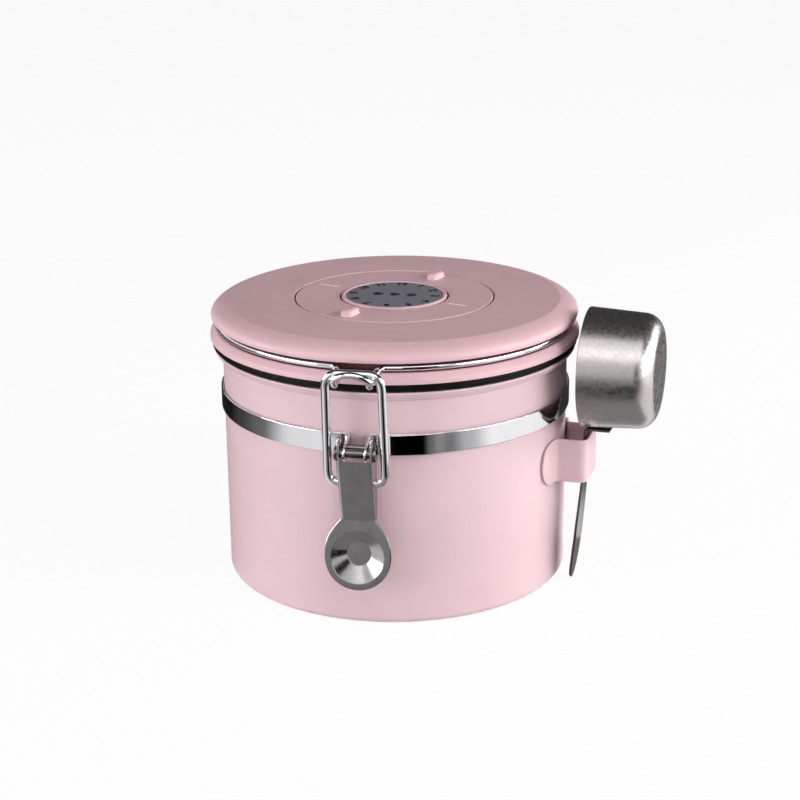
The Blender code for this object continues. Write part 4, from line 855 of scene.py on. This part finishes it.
def nub(name, angle):
    """One raised grip, rounded over, with a small foot."""
    place = posed(polar(NUB_REACH, angle, LID_TOP), angle)
    rings = []
    shares = [(-0.30, 1.05), (0.0, 1.05), (0.10, 1.0), (0.35, 0.97)]
    shares += [(0.35 + 0.65 * math.sin(turn), 0.97 - 0.72 * (1 - math.cos(turn)))
               for turn in [step * math.pi / 24 for step in range(1, 13)]]
    for height, size in shares:
        trim = (1 - size) * NUB_WIDTH
        outline = stadium(NUB_LENGTH - trim, NUB_WIDTH - trim)
        rings.append([place @ Vector((x, y, height * NUB_RISE)) for x, y in outline])
    return loft(name, rings)


def make_dial():
    """The turning ring with its grips, arrow and line."""
    hole = BEZEL_RADIUS + GAP + DIAL_GROOVE
    rim = DIAL_RADIUS + GAP - DIAL_GROOVE
    lip = BEZEL_RADIUS - BEZEL_OVERLAP + GAP
    step = DIAL_BASE + DIAL_LIP
    profile = [(hole, LID_TOP, SOFT), (rim, LID_TOP, DIAL_EASE), (rim, DIAL_BASE, CRISP),
               (lip, DIAL_BASE, CRISP), (lip, step, CRISP), (hole, step, HAIR)]
    dial = turned("ring_shell", profile, 192, closed=True)
    half = MARK_LENGTH / 2
    thin = MARK_WIDTH / 2
    barb = ARROW_HEAD / 2
    arrow = [(-thin, half), (-thin, ARROW_HEAD - half), (-barb, ARROW_HEAD - half), (0, -half),
             (barb, ARROW_HEAD - half), (thin, ARROW_HEAD - half), (thin, half)]
    line = [(-thin, half), (-thin, -half), (thin, -half), (thin, half)]
    for outline, reach, angle in ((arrow, ARROW_REACH, NUB_AZIMUTH + math.pi / 2),
                                  (line, LINE_REACH, NUB_AZIMUTH - math.pi / 2)):
        place = posed(polar(reach, angle, LID_TOP), angle + math.pi)
        cut(dial, plate("mark", outline, 2 * MARK_DEPTH, place, MARK_EDGE))
    shell = joined("dial_shell", [dial, nub("near_nub", NUB_AZIMUTH), nub("far_nub", NUB_AZIMUTH + math.pi)])
    dress(shell, "plastic_pink", "dial", "dial_ring")
    # Painted shade: the darkened plastic covers the ring's faces down in the narrow gaps at its inner and
    # outer edge.
    second_look(shell, "plastic_shade", lambda radius, face: face.center.z < LID_TOP - DIAL_EASE
                and not hole + HAIR <= radius <= rim - HAIR)
    # Painted highlight: the lighter pink fills the cut arrow and line.
    second_look(shell, "mark_pink", lambda radius, face: hole + 2 * SOFT < radius < rim - 2 * SOFT
                and LID_TOP - 2 * MARK_DEPTH < face.center.z < LID_TOP - GAP / 3)


def make_bezel():
    """The fixed rim in the dial's middle and the printed label; returns the height of the print."""
    top = LID_TOP + BEZEL_RISE
    recess = BEZEL_RADIUS - BEZEL_RIM
    floor = top - LABEL_RECESS
    overlap = DIAL_BASE + DIAL_LIP + GAP
    shank = BEZEL_RADIUS - BEZEL_OVERLAP
    bore = SCREW_RADIUS + GAP
    stem_base = POCKET_BASE + STEM_SHORTFALL
    bezel = [(0, floor, 0), (recess, floor, HAIR), (recess, top, EASED), (BEZEL_RADIUS, top, MILD),
             (BEZEL_RADIUS, overlap, HAIR), (shank, overlap, HAIR), (shank, DIAL_BASE, HAIR),
             (STEM_RADIUS, DIAL_BASE, HAIR), (STEM_RADIUS, stem_base, HAIR), (bore, stem_base, HAIR),
             (bore, overlap - GAP, HAIR), (0, overlap - GAP, 0)]
    dress(turned("bezel_shell", bezel, 128), "plastic_pink", "lid", "month_bezel")
    base = floor + GAP
    level = base + LABEL_THICKNESS
    radius = recess - GAP
    label = [(0, level, 0), (radius, level, HAIR), (radius, base, HAIR), (0, base, 0)]
    dress(turned("label_disc", label, 128, steps=3), "label_grey", "lid", "month_label")
    return level


def number(name, text, place):
    """One printed number, as a thin solid."""
    curve = bpy.data.curves.new(name, "FONT")
    curve.body = text
    curve.size = MONTH_SIZE
    curve.align_x = curve.align_y = "CENTER"
    curve.extrude = PRINT_THICKNESS / 2
    curve.offset = MONTH_WEIGHT
    curve.resolution_u = 3
    thing = add_object(name, curve)
    graph = bpy.context.evaluated_depsgraph_get()
    mesh = bpy.data.meshes.new_from_object(thing.evaluated_get(graph))
    bpy.data.objects.remove(thing, do_unlink=True)
    mesh.transform(place)
    return add_object(name, mesh)


def make_print(level):
    """Plain month numbers round the dial, and three plain beans in its middle."""
    for month in range(1, 13):
        angle = math.pi - TAU * month / 12
        place = posed(polar(MONTH_REACH, angle, level), angle + math.pi)
        dress(number(f"month_{month:02d}", str(month), place), "print_black", "lid", slot="label_grey")
    heights = [(step / 14 - 0.5) * math.pi * 0.94 for step in range(15)]
    for index in range(3):
        place = posed(((index - 1) * BEAN_STEP, 0, level), BEAN_TURN)
        halves = []
        for side in (-1, 1):
            outline = [(side * (SEAM_HALF + BEAN_CURL * math.sin(2 * height)
                                + BEAN_WIDTH * math.cos(height) ** 0.8), BEAN_HALF * math.sin(height))
                       for height in heights]
            outline += [(side * SEAM_HALF - SEAM_CURL * math.sin(2 * height), -BEAN_HALF * math.sin(height))
                        for height in heights]
            halves.append(plate(f"bean_{index}_{side}", outline, PRINT_THICKNESS, place, HAIR / 10))
        dress(joined(f"bean_{index}", halves), "print_black", "lid", slot="label_grey")


# Scoop and its holder


def make_holder():
    """The coated channel with two round-ended wings."""
    radius = BODY_RADIUS + GAP + HOLDER_SHEET / 2
    steps = 14
    wing = [Vector((radius * math.cos(angle), -radius * math.sin(angle), 0))
            for angle in spread(WING_ANGLE, math.asin(HOLDER_HALF / radius), steps)]
    half = wing + [Vector((HOLDER_REACH, -HOLDER_HALF, 0))]
    bends = [0] * steps + [HOLDER_ROOT_BEND, HOLDER_BEND]
    corners = half + [Vector((point.x, -point.y, 0)) for point in half[::-1]]
    path = parted(rounded(corners, bends + bends[::-1]))
    lengths = [0.0]
    for one, two in zip(path, path[1:]):
        lengths.append(lengths[-1] + (two - one).length)
    full = (HOLDER_TOP - HOLDER_BASE) / 2
    widths = []
    for length in lengths:
        near = min(length, lengths[-1] - length) + LEAST
        short = max(0.0, WING_END - near)
        widths.append(full - WING_END + math.sqrt(WING_END ** 2 - short ** 2))
    holder = strip("holder_sheet", path, widths, HOLDER_SHEET, (0, 0, 1), HOLDER_EDGE)
    middle = (HOLDER_TOP + HOLDER_BASE) / 2
    holder.data.transform(posed((0, 0, middle), HOLDER_AZIMUTH))
    dress(holder, "coated_pink", "canister", "scoop_holder")


def make_cup():
    """The scoop's round cup, on its side."""
    floor = CUP_WALL - CUP_DEPTH
    profile = [(0, floor, 0), (CUP_END - CUP_WALL, floor, CUP_CORNER - CUP_WALL),
               (CUP_MOUTH - CUP_WALL, 0, SOFT), (CUP_MOUTH, 0, SOFT), (CUP_END, -CUP_DEPTH, CUP_CORNER),
               (0, -CUP_DEPTH, 0)]
    cup = turned("cup_shell", profile, 192, steps=12)
    cup.data.transform(posed((CUP_REACH, 0, 0), -math.pi / 2, "Y"))
    return cup


def make_handle():
    """The scoop's bent handle, from a round-ended tab under the cup to its tip."""
    tab = -CUP_MOUTH - GAP - HANDLE_SHEET / 2
    drop = tab - (HANDLE_TIP_HEIGHT - CUP_HEIGHT)
    bend = HOLDER_REACH - HOLDER_SHEET / 2 - 2 * GAP - HANDLE_SHEET / 2
    curl = bend - HANDLE_TIP_REACH
    steps = 60
    corners = [(bend + HANDLE_TAB, 0, tab), (bend, 0, tab)]
    corners += [(bend - curl * between(HANDLE_CURL, down), 0, tab - drop * down)
                for down in spread(0.0, 1.0, steps)[1:]]
    path = parted(rounded(corners, [0, HANDLE_BEND] + [0] * steps, 6))
    widths = []
    for point in path:
        down = min(1.0, max(0.0, (tab - point.z) / drop))
        width = between(HANDLE_WIDTHS, down)
        from_end = bend + HANDLE_TAB - point.x
        if down == 0.0 and from_end < HANDLE_NECK:
            width = math.sqrt(max(0.0, HANDLE_NECK ** 2 - (HANDLE_NECK - from_end) ** 2)) + CRISP
        widths.append(width)
    return strip("handle_strip", path, widths, HANDLE_SHEET, (0, 1, 0), HANDLE_EDGE)


def make_scoop():
    """The cup and its handle; they keep local axes, so the brushing follows the cup."""
    place = posed((0, 0, CUP_HEIGHT), HOLDER_AZIMUTH) @ Matrix.Rotation(SCOOP_LEAN, 4, "X")
    # The handle's darker steel is a painted dark reflection; the cup keeps the plain brushed steel.
    for thing, look, node in ((make_cup(), "brushed_steel", "scoop_cup"),
                              (make_handle(), "handle_steel", "scoop_handle")):
        thing.matrix_world = place
        dress(thing, look, "scoop", node, "brushed_steel")


def dress_inner_nodes():
    """The CAD nodes that keep their own shape get their materials and softened edges."""
    for node, look in (("dial_screw", "bright_steel"), ("valve_housing", "valve_white"),
                       ("valve_flap", "seal_black"), ("filter_pad", "filter_felt"),
                       ("filter_cover", "valve_white")):
        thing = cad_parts[node]
        for place in thing.material_slots:
            place.material = LOOKS[look]
        soften = thing.modifiers.new("soften", "BEVEL")
        soften.width = NODE_EDGE
        soften.segments = 2
        soften.limit_method = "ANGLE"
        soften.angle_limit = SHARP


# Studio and camera


def lamp(name, place, size, power):
    """A soft area lamp."""
    data = bpy.data.lights.new(name, "AREA")
    data.shape = "RECTANGLE"
    data.size, data.size_y = size
    data.energy = power
    thing = add_object(name, data)
    thing.location = place
    thing.rotation_euler = (Vector(AIM) - place).to_track_quat("-Z", "Y").to_euler()


def painted(thing):
    """Give a piece of the stage a material of its own, and return its nodes."""
    paint = bpy.data.materials.new(thing.name)
    paint.use_nodes = True
    thing.data.materials.append(paint)
    return paint.node_tree


def bright_to_rays(tree):
    """One for camera rays, and one for all that see the studio: camera, glossy and transmission rays."""
    path = tree.nodes.new("ShaderNodeLightPath")
    total = path.outputs["Is Camera Ray"]
    for name in ("Is Glossy Ray", "Is Transmission Ray"):
        node = tree.nodes.new("ShaderNodeMath")
        node.operation = "MAXIMUM"
        tree.links.new(total, node.inputs[0])
        tree.links.new(path.outputs[name], node.inputs[1])
        total = node.outputs[0]
    return path.outputs["Is Camera Ray"], total


def blend(tree, share, plain, bright, output):
    """Send a blend of two shaders to an output."""
    mix = tree.nodes.new("ShaderNodeMixShader")
    for start, end in zip((share, plain, bright), mix.inputs):
        tree.links.new(start, end)
    tree.links.new(mix.outputs[0], tree.nodes[output].inputs["Surface"])


def level(name, west, east, south, north, height):
    """One flat face that lies level."""
    mesh = bpy.data.meshes.new(name)
    mesh.from_pydata([(west, south, height), (east, south, height), (east, north, height),
                      (west, north, height)], [], [(0, 1, 2, 3)])
    return add_object(name, mesh)


def make_floor():
    """A plain white floor that keeps a faint shadow."""
    floor = level("floor", -FLOOR_HALF, FLOOR_HALF, -FLOOR_HALF, FLOOR_HALF, -CRISP)
    tree = painted(floor)
    shader = tree.nodes["Principled BSDF"]
    for key, value in (("Base Color", (0.9, 0.9, 0.9, 1)), ("Roughness", 0.9), ("Specular IOR Level", 0.0)):
        shader.inputs[key].default_value = value
    share = tree.nodes.new("ShaderNodeMath")
    share.operation = "MULTIPLY"
    share.inputs[1].default_value = FLOOR_GLOW
    tree.links.new(bright_to_rays(tree)[1], share.inputs[0])
    blend(tree, share.outputs[0], shader.outputs[0], add_node(tree, "Emission"), "Material Output")


def make_world():
    """White to the camera, a little greyer to glossy and transmission rays, soft grey to the rest."""
    world = bpy.data.worlds.new("studio")
    bpy.context.scene.world = world
    world.use_nodes = True
    tree = world.node_tree
    back = tree.nodes["Background"]
    back.inputs["Color"].default_value = (0.98, 0.98, 1.0, 1)
    back.inputs["Strength"].default_value = SOFT_LIGHT
    seen, share = bright_to_rays(tree)
    white = add_node(tree, "Background", Color=add_node(tree, "MapRange", Value=seen, To_Min=HORIZON))
    blend(tree, share, back.outputs[0], white, "World Output")


def card(thing, greys):
    """Make a card that only polished surfaces see; greys is a table of (azimuth from the camera, grey)."""
    tree = painted(thing)
    tree.nodes.remove(tree.nodes["Principled BSDF"])
    spot = tree.nodes.new("ShaderNodeTexCoord").outputs["Object"]
    spot = add_node(tree, "Mapping", Vector=spot, Rotation=(0, 0, math.pi / 2 - CAMERA_AZIMUTH))
    around = add_node(tree, "TexGradient", Vector=spot).node
    around.gradient_type = "RADIAL"
    tone = add_node(tree, "ValToRGB", Fac=around.outputs["Fac"])
    tone.node.color_ramp.interpolation = "EASE"
    stops = tone.node.color_ramp.elements
    if len(greys) == 1:
        stops.remove(stops[1])
    for index, (azimuth, grey) in enumerate(greys):
        stop = stops[index] if index < 2 else stops.new(1.0)
        stop.position = azimuth / 360 + 0.5
        stop.color = (grey, grey, grey, 1)
    tree.links.new(add_node(tree, "Emission", Color=tone), tree.nodes["Material Output"].inputs["Surface"])
    thing.visible_camera = thing.visible_diffuse = False
    thing.visible_shadow = thing.visible_transmission = False


def upright(name, start, end, low, high):
    """One flat face that stands upright from start to end."""
    mesh = bpy.data.meshes.new(name)
    mesh.from_pydata([(start[0], start[1], low), (end[0], end[1], low), (end[0], end[1], high),
                      (start[0], start[1], high)], [], [(0, 1, 2, 3)])
    return add_object(name, mesh)


def make_studio():
    """Soft lamps, and cards that give the metal its dark lines."""
    for name, azimuth, reach, height, size, power in LAMPS:
        lamp(name, polar(reach, CAMERA_AZIMUTH + math.radians(azimuth), height), size, power)
    for name, across, along, height, greys in LEVEL_CARDS:
        card(level(name, *across, *along, height), greys)
    card(upright("card_back", (-ROOM, ROOM), (ROOM, ROOM), 0.05, CEILING), ((0, 0.04),))
    for name, reach, low, high, azimuths, grey in UPRIGHT_CARDS:
        start, end = (polar(reach, CAMERA_AZIMUTH + math.radians(azimuth)) for azimuth in azimuths)
        card(upright(name, start, end, low, high), ((0, grey),))


def make_camera():
    """The photograph's viewpoint."""
    data = bpy.data.cameras.new("camera")
    data.sensor_fit = "HORIZONTAL"
    data.sensor_width = CAMERA_SENSOR
    data.lens = CAMERA_LENS
    data.clip_start, data.clip_end = 0.01, 50
    camera = add_object("camera", data)
    camera.location = CAMERA_PLACE
    camera.rotation_mode = "QUATERNION"
    turn = CAMERA_AIM.to_track_quat("-Z", "Y").to_matrix() @ Matrix.Rotation(CAMERA_ROLL, 3, "Z")
    camera.rotation_quaternion = turn.to_quaternion()
    bpy.context.scene.camera = camera


make_camera()
make_world()
make_floor()
make_studio()
make_body()
make_strap()
make_tab()
make_pin("lever_rivet", "lever_pin", PIN_REACH, PIN_HEIGHT, PIN_RADIUS, LEVER_WIDTH / 2 + GAP + PIN_HEAD,
         PIN_HEAD_RADIUS, PIN_HEAD)
make_pin("clamp_rivet", "clamp_pin", CLAMP_REACH, CLAMP_HEIGHT, CLAMP_RADIUS,
         EAR_GAP / 2 + EAR_THICKNESS + GAP + CLAMP_HEAD, CLAMP_HEAD_RADIUS, CLAMP_HEAD)
make_hinge()
make_holder()
make_lever()
make_link()
make_bail()
make_cap()
make_base()
make_seal()
make_dial()
make_print(make_bezel())
make_scoop()
dress_inner_nodes()

bpy.context.scene.view_settings.view_transform = "Standard"
